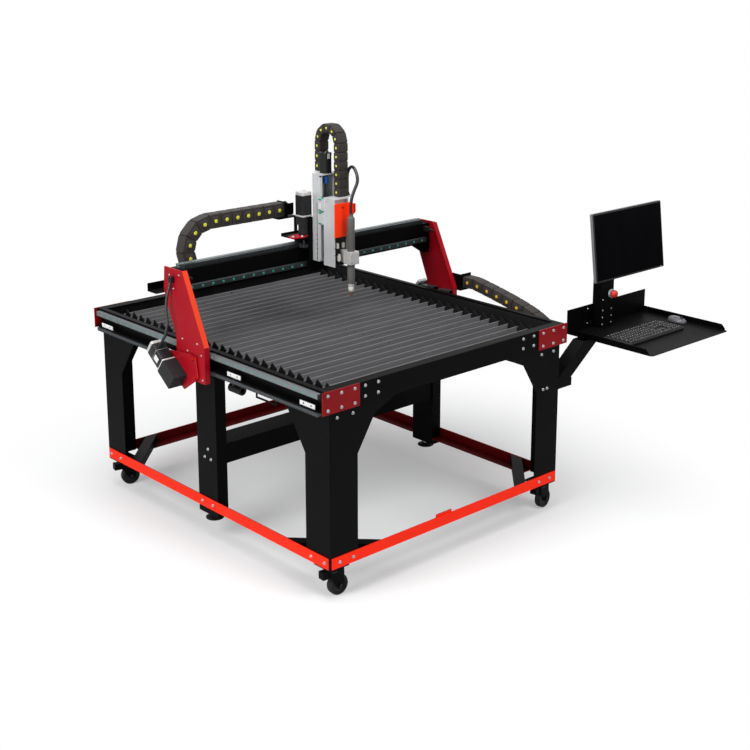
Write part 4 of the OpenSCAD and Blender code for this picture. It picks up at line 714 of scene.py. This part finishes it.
def bolted(places, d=12.5, h=6.0, coat=zinc_bolt):
    """The bolt's two shapes at many (point, axis) places."""
    stands = [stand(p, a) for p, a in places]
    return [(copies(shape, stands), coat) for shape in bolt(d, h)]


def grid_of(xs, zs, y):
    """Places on a wall that looks to -Y: every x with every z."""
    return [((x, y, z), FRONT) for x in xs for z in zs]


def leftward(places):
    """Places on walls that look to -X."""
    return [(place, LEFT) for place in places]

print("bolts ready")

# %% [markdown]
# The bolts go to the places that the drawing gives. The frame is the same on both ends and both sides, so
# one corner's bolts are mirrored three times.

# %% Bolts in place
corner = [*grid_of((-547.7, -471.9), (958, 910), -905),
          *grid_of((-763.6, -688, -612.4), (959.6, 894.4), -910),
          *grid_of((-704.6, -615.5), (848,), -900), *grid_of((-698.2, -618.8), (183,), -905),
          *leftward([(-755, -867.6, 183), (-755, -776.9, 183)])]
mid_leg = leftward([(-755, -43.4, 183), (-755, 43.4, 183), (-750, -9.3, 460), (-750, 18.6, 415),
                    (-750, -31, 413)])
single = grid_of((662.5, 633.4), (665,), -900)
panel = grid_of((1146, 1212, 1260, 1326), (952.5, 874.4), -753)
piece("frame_bolt_set", [*((mirrored(s, LEFT_RIGHT, FRONT_BACK, BOTH), c) for s, c in bolted(corner)),
                         *both_sides(bolted(mid_leg)), *bolted(single), *bolted(panel, 7, 6)],
      "table", ("frame_bolts",))
post_screws = grid_of((1200, 1272), (868, 905, 942, 1000), -810)
piece("post_screw_set", bolted(post_screws, 7, 3), "table", ())
plate_screws = leftward([(-PLATE_X, y, z) for y, z in (
    (70, 1312), (118, 1240), (150, 1300), (-60, 1010), (60, 1010), (-90, 960), (20, 960), (-96, 842))])
piece("gantry_screw_set", both_sides(bolted(plate_screws, 7.5, 4)), "gantry", ())

# %% [markdown]
# Linear rails are hardened bars with a groove along each flank for the balls. The section is an
# outline, carried along the rail. Teal plugs close the screw holes, and a stop block with a probe
# stands at each end of the beam.

# %% Linear rails
RAIL_W, RAIL_H, BEAM_RAIL = 24.0, 20.0, 1564


def rail_section(w, h):
    """Half the section, then its mirror: foot, waist groove, shoulder and chamfered crown."""
    half = np.array([(w / 2, 0), (w / 2, h * 0.3), (w * 0.38, h * 0.42), (w * 0.38, h * 0.6),
                     (w / 2, h * 0.7), (w / 2, h * 0.92), (w * 0.44, h)])
    return np.vstack([half, half[::-1] * (-1, 1)])


def rail(start, length, run, out):
    """The section along run, its crown looking out, with a plug in each screw hole."""
    start, run, out = (np.array(v, float) for v in (start, run, out))
    bar = carried(rail_section(RAIL_W, RAIL_H), bevelled(0, length, 0.4), start, np.cross(out, run), out)
    holes = [start + run * s + out * RAIL_H for s in np.arange(30, length, 60)]
    plug = turned([(0.1, 0.3), (4.2, 0.3), (4.6, 0.05), (6.2, 0.05), (6.4, -0.5)], sides=14)
    return bar, copies(plug, [stand(p, out) for p in holes])


bar, plugs = rail((776, -880, 956), 1760, BACK, RIGHT)
piece("side_rail_pair", both_sides([(bar, steel_y), (plugs, cap_teal)]), "table", ("side_linear_rails",))
front, front_plugs = rail((-782, 95, 1240), BEAM_RAIL, RIGHT, FRONT)
top, top_plugs = rail((-782, 152, 1325), BEAM_RAIL, RIGHT, UP)
stop = slab((776, 61, 1282), (792, 95, 1312), 1, 2)
probe = turned([(0.1, 0), (6, 0), (6, 22), (4.5, 23), (4.5, 34), (0.1, 34)], (784, 62, 1297), FRONT, 16)
piece("beam_rail_set", [(front, steel_x), (top, steel_top), (front_plugs, cap_teal), (top_plugs, cap_teal),
                        *both_sides([(stop, fitting_black), (probe, fitting_black)])],
      "gantry", ("beam_linear_rails",))

# %% [markdown]
# Bearing blocks ride on the rails. Their steel bodies are in the CAD; the teal end seals are thin
# frames that wrap the rail, one on each end of each block. The torch slide has capped blocks, a dark
# apron and small screws.

# %% Bearing seals and slide fittings
seal = [(782.5, 931), (821, 931), (821, 981), (782.5, 981), (782.5, 969), (797, 969), (797, 943),
        (782.5, 943)]
seals = [carried(seal, bevelled(0, 4, 0.6), (0, y, 0), RIGHT, UP) for y in (-93, -19, 27, 101)]
piece("gantry_seal_set", both_sides([(s, cap_teal) for s in seals]), "gantry", ())
lift_caps = [slab((x, -27.6, z), (x + 31, -1.5, z + 8), 2, 1.5)
             for x in (-46.5, 41.5) for z in (1454.5, 1507.5, 1521.5, 1574.5)]
lift_label = slab((-46.8, -24, 1535), (-45.8, -6, 1562), 0, 0.8, 0.2)
slide_screws = [*leftward([(-34, -49, 1572)]), *grid_of((-31.5,), (1310, 1345, 1390), -109)]
piece("lift_seal_set", [*((s, cap_teal) for s in lift_caps), (lift_label, sticker_white),
                        *bolted(slide_screws, 4.2, 1.5, fitting_black)], "torch_lift", ())
apron = slab((-28.5, -91, 1251), (54.5, -89.2, 1399), 1, 2, 0.4)
apron_screws = grid_of((-20, 46), (1260, 1388), -91)
piece("slide_apron", [(apron, fitting_black), *bolted(apron_screws, 5, 2, fitting_black)], "torch_lift", ())
groove = slab((-37.4, 15.5, 1264), (-36.6, 19, 1560), 0, 0.6, 0.2)
rail_screws = leftward([(-37.3, 18, z) for z in range(1276, 1420, 24)])
piece("lift_screw_row", [(groove, fitting_black), *bolted(rail_screws, 6.5, 1.5, fitting_black)],
      "carriage", ())

# %% [markdown]
# Motors are stacks of square castings with rounded corners: a silver flange, a black stack, a silver
# rear cap, four screws. One function stacks them upright. The side motors lean, so their stack is
# stood in place by the drive's own three directions.

# %% Side motors
def square_motor(w, layers, r=5.0):
    """Layers (from, to, width change, finish) along z, each a rounded square with bevelled ends."""
    return [(carried(rounded(w + grow, w + grow, r), bevelled(low, high, 1.0)), coat)
            for low, high, grow, coat in layers]


def motor_screws(w, z):
    """Four cap screws in the corners of the rear cap."""
    spots = [((sx * w, sy * w, z), UP) for sx in (-1, 1) for sy in (-1, 1)]
    return bolted(spots, 6.5, 2.0)


drive = np.column_stack([RIGHT, -rise, lean, drive_axis])
flange = carried(rounded(71, 78, 5), bevelled(55, 63, 0.8))
plug = turned([(11, 34), (11, 39), (8.8, 40), (8.8, PLUG_END)], (0, 0, PLUG_ALONG), FRONT, 20)
sticker = slab((34.7, -15, 82), (35.4, 15, 114), 0, 1, 0.2)
stack = [(flange, cast_alloy), *square_motor(70, [(63, 70, -3, motor_black), (70, 122, 0, motor_black),
                                                  (122.5, 125, -2, cast_alloy), (125.5, 163, 0, motor_black),
                                                  (163, 179, -3, cast_alloy)], 6),
         *motor_screws(27, 179), (plug, motor_black), (sticker, sticker_white)]
piece("side_motor_pair", both_sides([(copies(s, [drive]), c) for s, c in stack]), "gantry", ("side_motors",))
ribs = [slab((38, -30, -50 + 12 * i), (38.8, 30, -46 + 12 * i), 0, 0.8, 0.2) for i in range(9)]
piece("gearbox_rib_set", both_sides([(copies(s, [drive]), gearbox_black) for s in ribs]), "gantry", ())

# %% [markdown]
# The carriage carries two upright motors. The larger one drives it along the beam: a round gear head
# on a red pivot plate, and a square motor on top. The smaller one stands over the lift's screw.

# %% Carriage motors
def moved(parts, by):
    """(shape, finish) pairs moved without turning."""
    place = np.column_stack([np.eye(3), by])
    return [(copies(shape, [place]), coat) for shape, coat in parts]


X_MOTOR, LIFT_SCREW = (-65, 88.3, 0), (13, 8, 0)
pivot_outline = [(-95, -28), (-35, -42), (0, -29), (33, -29), (33, 22), (-25, 36), (-90, 12)]
pivot = carried(pivot_outline, bevelled(1384, 1390, 0.6))
head = turned([(28, 1380), (28, 1384), (26, 1390), (28, 1391), (28, 1425), (26.5, 1426), (26.5, 1429),
               (28, 1430), (28, 1484)])
socket = slab((-31.5, -12, 1567), (-29, 12, 1589), 0, 1.5, 0.5)
pivot_bolts = [((x, y, 1390), UP) for x, y in ((-78, -12), (-36, -30), (22, -18), (22, 14))]
x_stack = [(pivot, coat_gantry_red), (head, motor_black),
           *square_motor(60, [(1441, 1484, -4, motor_black), (1484, 1492, 2, cast_alloy),
                              (1492, 1591, 0, motor_black), (1591, 1607, -2, cast_alloy)]),
           (socket, motor_black), *motor_screws(24, 1607), *bolted(pivot_bolts, 11, 6)]
piece("x_motor_stack", moved(x_stack, X_MOTOR), "carriage", ("x_motor",))

connector = slab((-8, -24.5, 1776), (8, -22.5, 1800), 1, 1, 0.4)
z_stack = [*square_motor(46, [(1702, 1708, 0, motor_black), (1708.5, 1790, -1.5, motor_black),
                              (1790, 1805, 0, motor_black)], 6),
           (connector, cast_alloy), *motor_screws(18, 1805)]
piece("z_motor_stack", moved(z_stack, LIFT_SCREW), "carriage", ("z_motor",))

# %% [markdown]
# The lift's screw has a real thread: its surface is a function of angle and height, and the wave that
# cuts the groove climbs one pitch for each turn. A bump on a plain rod would leave the rod's edge straight,
# and the groove shows there. A blue clamping coupling joins it to the motor.

# %% Lead screw
def threaded(r, depth, pitch, z0, z1, at, sides=20, steps=8):
    """A screw: radius at angle a and height z is r less depth times a wave of z/pitch turns minus a."""
    z = np.linspace(z0, z1, int((z1 - z0) / pitch * steps) + 1)[:, None]
    a = np.linspace(0, 2 * np.pi, sides, endpoint=False)[None]
    wave = 0.5 - 0.5 * np.clip(1.6 * np.cos(2 * np.pi * z / pitch - a), -1, 1)
    rr = r - depth * wave
    return rings(np.stack([at[0] + rr * np.cos(a), at[1] + rr * np.sin(a), z + 0 * a], -1))


screw = threaded(8, 1.3, 10, 1262, 1651, LIFT_SCREW)
shaft = turned([(8, 1686), (8, 1722)], LIFT_SCREW)
coupling = turned([(8, 1651), (13.5, 1651), (15, 1652.5), (15, 1660), (13.6, 1661), (13.6, 1663), (15, 1664),
                   (15, 1673), (13.6, 1674), (13.6, 1676), (15, 1677), (15, 1684.5), (13.5, 1686), (8, 1686)],
                  LIFT_SCREW)
piece("lift_screw", [(screw, steel_x), (shaft, steel_x), (coupling, blue_anodise)], "lead_screw_body",
      ("lead_screw",))

# %% [markdown]
# The torch is a turned handle with a pale cup and a copper nose: three profiles round one axis. The
# seat of the lead's gland is turned with it.

# %% Torch
torch_axis = (*TORCH, 0)
handle = turned([(14, 1167), (19, 1170), (19, 1250), (18, 1252), (18, 1256), (19, 1258), (19, 1440),
                 (17.6, 1442), (17.6, 1446), (19, 1448), (19, 1494), (16, 1502), (11, 1506),
                 (11, TORCH_TOP)], torch_axis)
cup = turned([(9, 1128), (12.5, 1130), (14, 1136), (14, 1150), (13, 1152), (14, 1154), (14, 1167)],
             torch_axis)
nose = turned([(3, 1100), (5.5, 1100.5), (6.5, 1104), (9.5, 1124), (10.5, 1130)], torch_axis)
seat = turned([(13, 1590), (13, 1596), (10.5, 1598), (10.5, GLAND_TOP)], (*GLAND, 0))
piece("torch_body", [(handle, torch_grey), (cup, cup_white), (nose, copper_tip), (seat, motor_black)],
      "torch_lift", ("torch",))

# %% [markdown]
# The torch stands in a split clamp whose two halves are outlines with a half-round notch. A small sensor
# sits beside the clamp's arm and two pale switch boxes above it, on the slide's face below the orange
# bracket, which is a flat plate with a gusset.

# %% Clamp and bracket
grip, low, high = 19.2, 1268, 1332
notch = np.linspace(0, np.pi, 13)
arc = grip * np.stack([np.cos(notch), np.sin(notch)], 1)
back_half = np.vstack([[(59, -156.4), (59, -132), (5, -132), (5, -156.4)], arc[::-1] + TORCH])
front_half = np.vstack([[(5, -157.6), (5, -186), (59, -186), (59, -157.6)], arc * (1, -1) + TORCH])
clamp = [(carried(half, bevelled(low, high, 0.8)), cast_alloy) for half in (back_half, front_half)]
clamp += [(slab((20, -133, low), (44, -89, high), 2, 2), cast_alloy),
          *bolted(grid_of((11, 53), (1282, 1318), -186), 8, 4)]
sheet = bevelled(0, 5, 0.5)
plate = [(-34, 1567), (60, 1567), (60, 1479), (36, 1399), (-34, 1399)]
gusset = [(-114, 1567), (-162, 1567), (-162, 1527), (-114, 1479)]
clamp += [(carried(plate, sheet, (0, -109, 0), RIGHT, UP), coat_orange),
          (carried(gusset, sheet, (55, 0, 0), BACK, UP), coat_orange),
          *bolted(grid_of((16,), (1545,), -114), 8, 3, fitting_black)]
sensor = [(4, 0), (4, 6), (11, 7), (11, 30), (7, 31), (7, 38), (3, 40)]
clamp += [(turned(sensor, (2, -101, 1272), UP, 24), cup_white),
          *((slab((x, -104, 1340), (x + 14, -89, 1366), 2, 3), cup_white) for x in (-12, 26))]
piece("torch_clamp", clamp, "torch_lift", ("torch_bracket",))

# %% [markdown]
# Casters are turned shapes: a tread with rounded shoulders, a dished hub, an axle bolt. Each stands at
# its own angle, as if the table had just been rolled in, so the profile goes round an axle that is
# worked out from that angle.

# %% Casters
CASTER_X, CASTER_Y, WHEEL_R, TRAIL, FORK_HALF = 695, 845, 49, 30, 28.5
tread = [(30, -13.5), (38, -13.5), (38, -17.4), (42, -18), (46, -16.5), (48.4, -12.5), (WHEEL_R, -7),
         (WHEEL_R, 7), (48.4, 12.5), (46, 16.5), (42, 18), (38, 17.4), (38, 13.5), (30, 13.5)]
hub = [(5.2, -18), (17, -18), (18, -17), (18, -13.6), (37.5, -13.4), (37.5, 13.4), (18, 13.6), (18, 17),
       (17, 18), (5.2, 18)]
for tag, sx, sy, angle in (("fl", -1, -1, -5), ("fr", 1, -1, 8), ("bl", -1, 1, -12), ("br", 1, 1, 6)):
    a = math.radians(angle)
    trail, axle = np.array((math.cos(a), math.sin(a), 0)), np.array((-math.sin(a), math.cos(a), 0))
    pin = np.array((sx * CASTER_X, sy * CASTER_Y, 0))
    at = pin + (0, 0, WHEEL_R) + TRAIL * trail
    wheel = [(turned(tread, at, axle, 56), tread_black), (turned(hub, at, axle, 40), fitting_black)]
    piece(f"caster_tyre_{tag}", wheel, f"caster_wheel_{tag}_body", (f"caster_wheel_{tag}",))
    ends = [(at + s * FORK_HALF * axle, s * axle) for s in (-1, 1)]
    swivel = turned([(26, 117), (27.5, 119), (27.5, 123), (25, 126), (20, 126)], pin)
    piece(f"caster_axle_{tag}", [*bolted(ends, 14, 5, fitting_black), (swivel, fitting_black)],
          f"caster_fork_{tag}_body", ())

# %% [markdown]
# A leveling foot is a turned pad on a threaded stud with a lock nut. The stud comes from the same maker
# as the lift's screw, with a finer pitch.

# %% Leveling feet
FOOT_X = 715
for side, sx in (("left", -1), ("right", 1)):
    foot = (sx * FOOT_X, 0, 0)
    pad = turned([(41, 97), (44, 99), (44, 103), (36, 105), (18, 111), (10, 112)], foot, sides=48)
    stud = threaded(8, 0.9, 2.5, 111, 241, foot, 18, 6)
    nut = carried(hexagon(13.5), [(111, 1.2), (112, 0), (122, 0), (123, 1.2)], foot)
    piece(f"{side}_foot_turned", [(pad, tread_black), (stud, steel_y), (nut, zinc_bolt)], f"{side}_foot_body",
          (f"{side}_foot",))

# %% [markdown]
# The screen leans back on its hinge. It is drawn upright about the hinge and then stood in the lean:
# a silver-grey rim, a thin black bezel, a sheet of dark glass set just behind it, and a boxed back.

# %% Screen
HINGE, SCREEN_X, SCREEN_W, SCREEN_H = (1236, -812, 1304), 54, 565, 352
slope = math.radians(-7)
leant = np.column_stack([[RIGHT, (0, math.cos(slope), -math.sin(slope)),
                          (0, math.sin(slope), math.cos(slope))], HINGE])


def picture_frame(outer, inner, x, y0, y1):
    """Four closed walls between two outlines: rings go out-front, in-front, in-back, out-back and close."""
    loops = [(outer, y0 + 0.8, 0.994), (outer, y0, 0.986), (inner, y0, 1.0), (inner, y1, 1.0),
             (outer, y1, 1.0)]
    pts = np.stack([np.stack([x + o[:, 0] * s, np.full(len(o), y), o[:, 1] * s], 1) for o, y, s in loops])
    m, n = pts.shape[:2]
    i, j = np.meshgrid(np.arange(m), np.arange(n), indexing="ij")
    i2, j2 = (i + 1) % m, (j + 1) % n
    return pts.reshape(-1, 3), [np.stack([i * n + j, i * n + j2, i2 * n + j2, i2 * n + j], -1).reshape(-1, 4)]


bezel = picture_frame(rounded(SCREEN_W, SCREEN_H, 6), rounded(551, 334, 3), SCREEN_X, -83, -79)
rim = carried(rounded(SCREEN_H, SCREEN_W, 6), [(0, 0), (16, 0), (18, 3)], (SCREEN_X, -79, 0), *AXES[1])
glass = slab((SCREEN_X - 276, -81.2, -167.5), (SCREEN_X + 276, -79.2, 167.5), 1, 2, 0.3)
back = carried(rounded(180, 180, 12), [(0, 0), (10, 0), (16, 8)], (0, -61, 0), *AXES[1])
lug = turned([(17, -21.5), (17, 21.5)], (0, 0, 0), RIGHT)
neck = slab((-21.5, -50, -17), (21.5, 0, 17), 1, 3, 0.5)
vents = [slab((16 * i - 146, -61.4, 120), (16 * i - 138, -60.6, 150), 1, 1.5, 0.2) for i in range(26)]
led = slab((302, -83.6, -171.5), (316, -83, -169.5), 1, 0.8, 0.2)
screen = [(bezel, desk_black), (rim, rim_silver), (glass, glass_dark), (back, desk_black), (lug, desk_black),
          (neck, desk_black), (led, key_mark), *((v, desk_black) for v in vents)]
piece("screen_unit", [(copies(s, [leant]), c) for s, c in screen], "monitor_body", ("monitor",))

# %% [markdown]
# The keyboard has rows of keys of different widths. Each key is a rounded outline that narrows towards
# its top, with a small pale tick on it. A row is a list of widths in keys: under one is a gap, and a
# minus is an empty place of that width.

# %% Keyboard
DESK_TOP, KEY_ROW = 850, 26.5
pads = [0.4, 1, 1, 1, 0.4, 1, 1, 1, 1]
rows = [[1, 0.4] + [1] * 4 + [0.4] + [1] * 4 + [0.4] + [1] * 4 + pads,
        [1] * 13 + [2] + pads,
        [1.5] + [1] * 12 + [1.5] + pads,
        [1.8] + [1] * 11 + [2.2, 0.4, -3, 0.4, 1, 1, 1, 1],
        [2.3] + [1] * 10 + [2.7, 0.4, -1, 1, -1, 0.4, 1, 1, 1, 1],
        [1.3, 1.3, 1.3, 5.9, 1.3, 1.3, 1.3, 1.3, 0.4, 1, 1, 1, 0.4, 2, 1, 1]]
keys = [(slab((1045, -1115, DESK_TOP), (1495, -940, 861), 2, 8, 2.0), desk_black)]
pitch = 434 / max(sum(abs(w) for w in row) for row in rows)
for n, row in enumerate(rows):
    x, y = 1053, -954 - KEY_ROW * n - (4 if n else 0)
    for w in row:
        wide = abs(w) * pitch
        if w >= 1:
            top = carried(rounded(wide - 2, 22, 2.5, 2), [(860, 0), (866, 1.4), (868.5, 2.4), (868.2, 3.6)],
                          (x + wide / 2, y - 9, 0))
            mark = slab((x + wide * 0.28, y - 5, 868.2), (x + wide * 0.28 + 5, y - 2, 868.7), 2, 0.8, 0.1)
            keys += [(top, key_black), (mark, key_mark)]
        x += wide
piece("keyboard_set", keys, "table", ("keyboard",))

# %% [markdown]
# The mouse is one closed surface: rings along its length, each a flattened half round whose width and
# height swell and fall with the sine of the place along it. A small wheel is set into it.

# %% Mouse
MOUSE_X, MOUSE_Y = 1590, -1005
along = np.linspace(0.02, np.pi - 0.02, 22)[:, None]
about = np.linspace(0, 2 * np.pi, 28, endpoint=False)[None]
girth = np.sin(along) ** 0.55
mx = MOUSE_X + 30 * girth * np.sign(np.cos(about)) * np.abs(np.cos(about)) ** 0.75 * (1 - 0.1 * np.cos(along))
my = MOUSE_Y - 52.5 * np.cos(along) + 0 * about
crown = 33 * girth * (0.82 - 0.18 * np.cos(along - 0.4))
mz = DESK_TOP + 0.2 + np.maximum(np.sin(about), 0) ** 0.8 * crown + 1.6 * girth * (np.sin(about) > -0.2)
wheel = turned([(5, -3), (8, -2.4), (8, 2.4), (5, 3)], (MOUSE_X, MOUSE_Y - 25, 874), RIGHT, 24)
piece("mouse_shell", [(rings(np.stack([mx, my, mz], -1)), mouse_grey), (wheel, desk_black)], "table",
      ("mouse",))

# %% [markdown]
# The emergency stop is a silver collar on the post and a red mushroom that can be pushed in. Both are
# profiles turned round one axis, and they are two pieces because only the mushroom moves.

# %% Emergency stop
STOP = (1261, -810, 1027)
collar = turned([(9, 0), (21, 0), (23, 1.5), (23, 5), (21.5, 6), (21.5, 8), (23, 9), (23, 11), (21, 12),
                 (9, 12)], STOP, FRONT, 40)
piece("stop_collar", [(collar, cast_alloy)], "table", ("estop_collar",))
button = turned([(8, -26), (8, 18), (18, 19), (20, 21.5), (20, 27), (18.6, 33), (15, 37), (9, 39.4),
                 (0.1, 40)], STOP, FRONT, 44)
piece("stop_mushroom", [(button, button_red)], "estop_button_body", ("estop_button",))

# %% [markdown]
# A white studio has a pale floor that keeps the soft shadow and fades to plain white away from the
# machine. The fade is a mix with plain light, which only the camera sees.

# %% Studio floor
reach, floor_z = 40.0, -0.0006
ground = bpy.data.meshes.new("studio_floor")
ground.from_pydata([(sx * reach, sy * reach, floor_z) for sx, sy in ((-1, -1), (1, -1), (1, 1), (-1, 1))],
                   [], [(0, 1, 2, 3)])
floor = bpy.data.objects.new("studio_floor", ground)
scene.collection.objects.link(floor)
paper, shader, where = finish("studio_paper")
feed(shader, Base_Color=noise(where, 3.0).tone(hue("#f2f3f3"), hue("#f5f6f6")), Roughness=0.9,
     Specular_IOR_Level=0.0)
seen = where.node("ShaderNodeLightPath", out="Is Camera Ray")
away = where.node("ShaderNodeVectorMath", {0: where}, out="Value", operation="LENGTH")
fade = where.node("ShaderNodeMapRange", {"Value": away, "From Min": 1.0, "From Max": 2.2, "To Min": 0.3},
                  interpolation_type="SMOOTHSTEP")
plain = where.node("ShaderNodeEmission", {"Color": (1, 1, 1, 1), "Strength": 1.0})
tree = paper.node_tree
both = where.node("ShaderNodeMixShader", {0: fade * seen, 1: Wire(tree, shader.outputs[0]), 2: plain})
tree.links.new(both.socket, tree.nodes["Material Output"].inputs["Surface"])
ground.materials.append(paper)
print("floor", 2 * reach, "m wide")

# %% [markdown]
# The world is white to the eye and to reflections but lights the table only dimly, so that three large
# soft lamps can shape it.

# %% World and lamps
world = bpy.data.worlds.new("studio_world")
scene.world = world
world.use_nodes = True
sky = Wire(world.node_tree)
rays = [sky.node("ShaderNodeLightPath", out=f"Is {kind} Ray")
        for kind in ("Camera", "Glossy", "Transmission")]
looked_at = (rays[0] + rays[1] + rays[2]).clipped()
dim = sky.node("ShaderNodeBackground", {"Color": (0.92, 0.95, 1.0, 1), "Strength": 0.24})
bright = sky.node("ShaderNodeBackground", {"Color": (1, 1, 1, 1), "Strength": 1.0})
shown = sky.node("ShaderNodeMixShader", {0: looked_at, 1: dim, 2: bright})
world.node_tree.links.new(shown.socket, world.node_tree.nodes["World Output"].inputs["Surface"])


def soft_lamp(name, place, aim, size, watts):
    """A square lamp that looks from one point at another."""
    data = bpy.data.lights.new(name, "AREA")
    data.size, data.energy = size, watts
    lamp = bpy.data.objects.new(name, data)
    gaze = np.array(aim, float) - place
    lamp.location = place
    lamp.rotation_euler = (math.atan2(math.hypot(gaze[0], gaze[1]), -gaze[2]), 0,
                           math.atan2(gaze[1], gaze[0]) - math.pi / 2)
    scene.collection.objects.link(lamp)
    print(name, watts, "W")

soft_lamp("top_light", (-0.6, -0.4, 5.2), (0, 0, 0.8), 3.6, 190)
soft_lamp("left_light", (-5.2, -0.4, 3.6), (0, 0, 0.9), 2.8, 210)
soft_lamp("front_light", (0.6, -4.8, 4.4), (0.3, 0, 0.8), 2.6, 130)
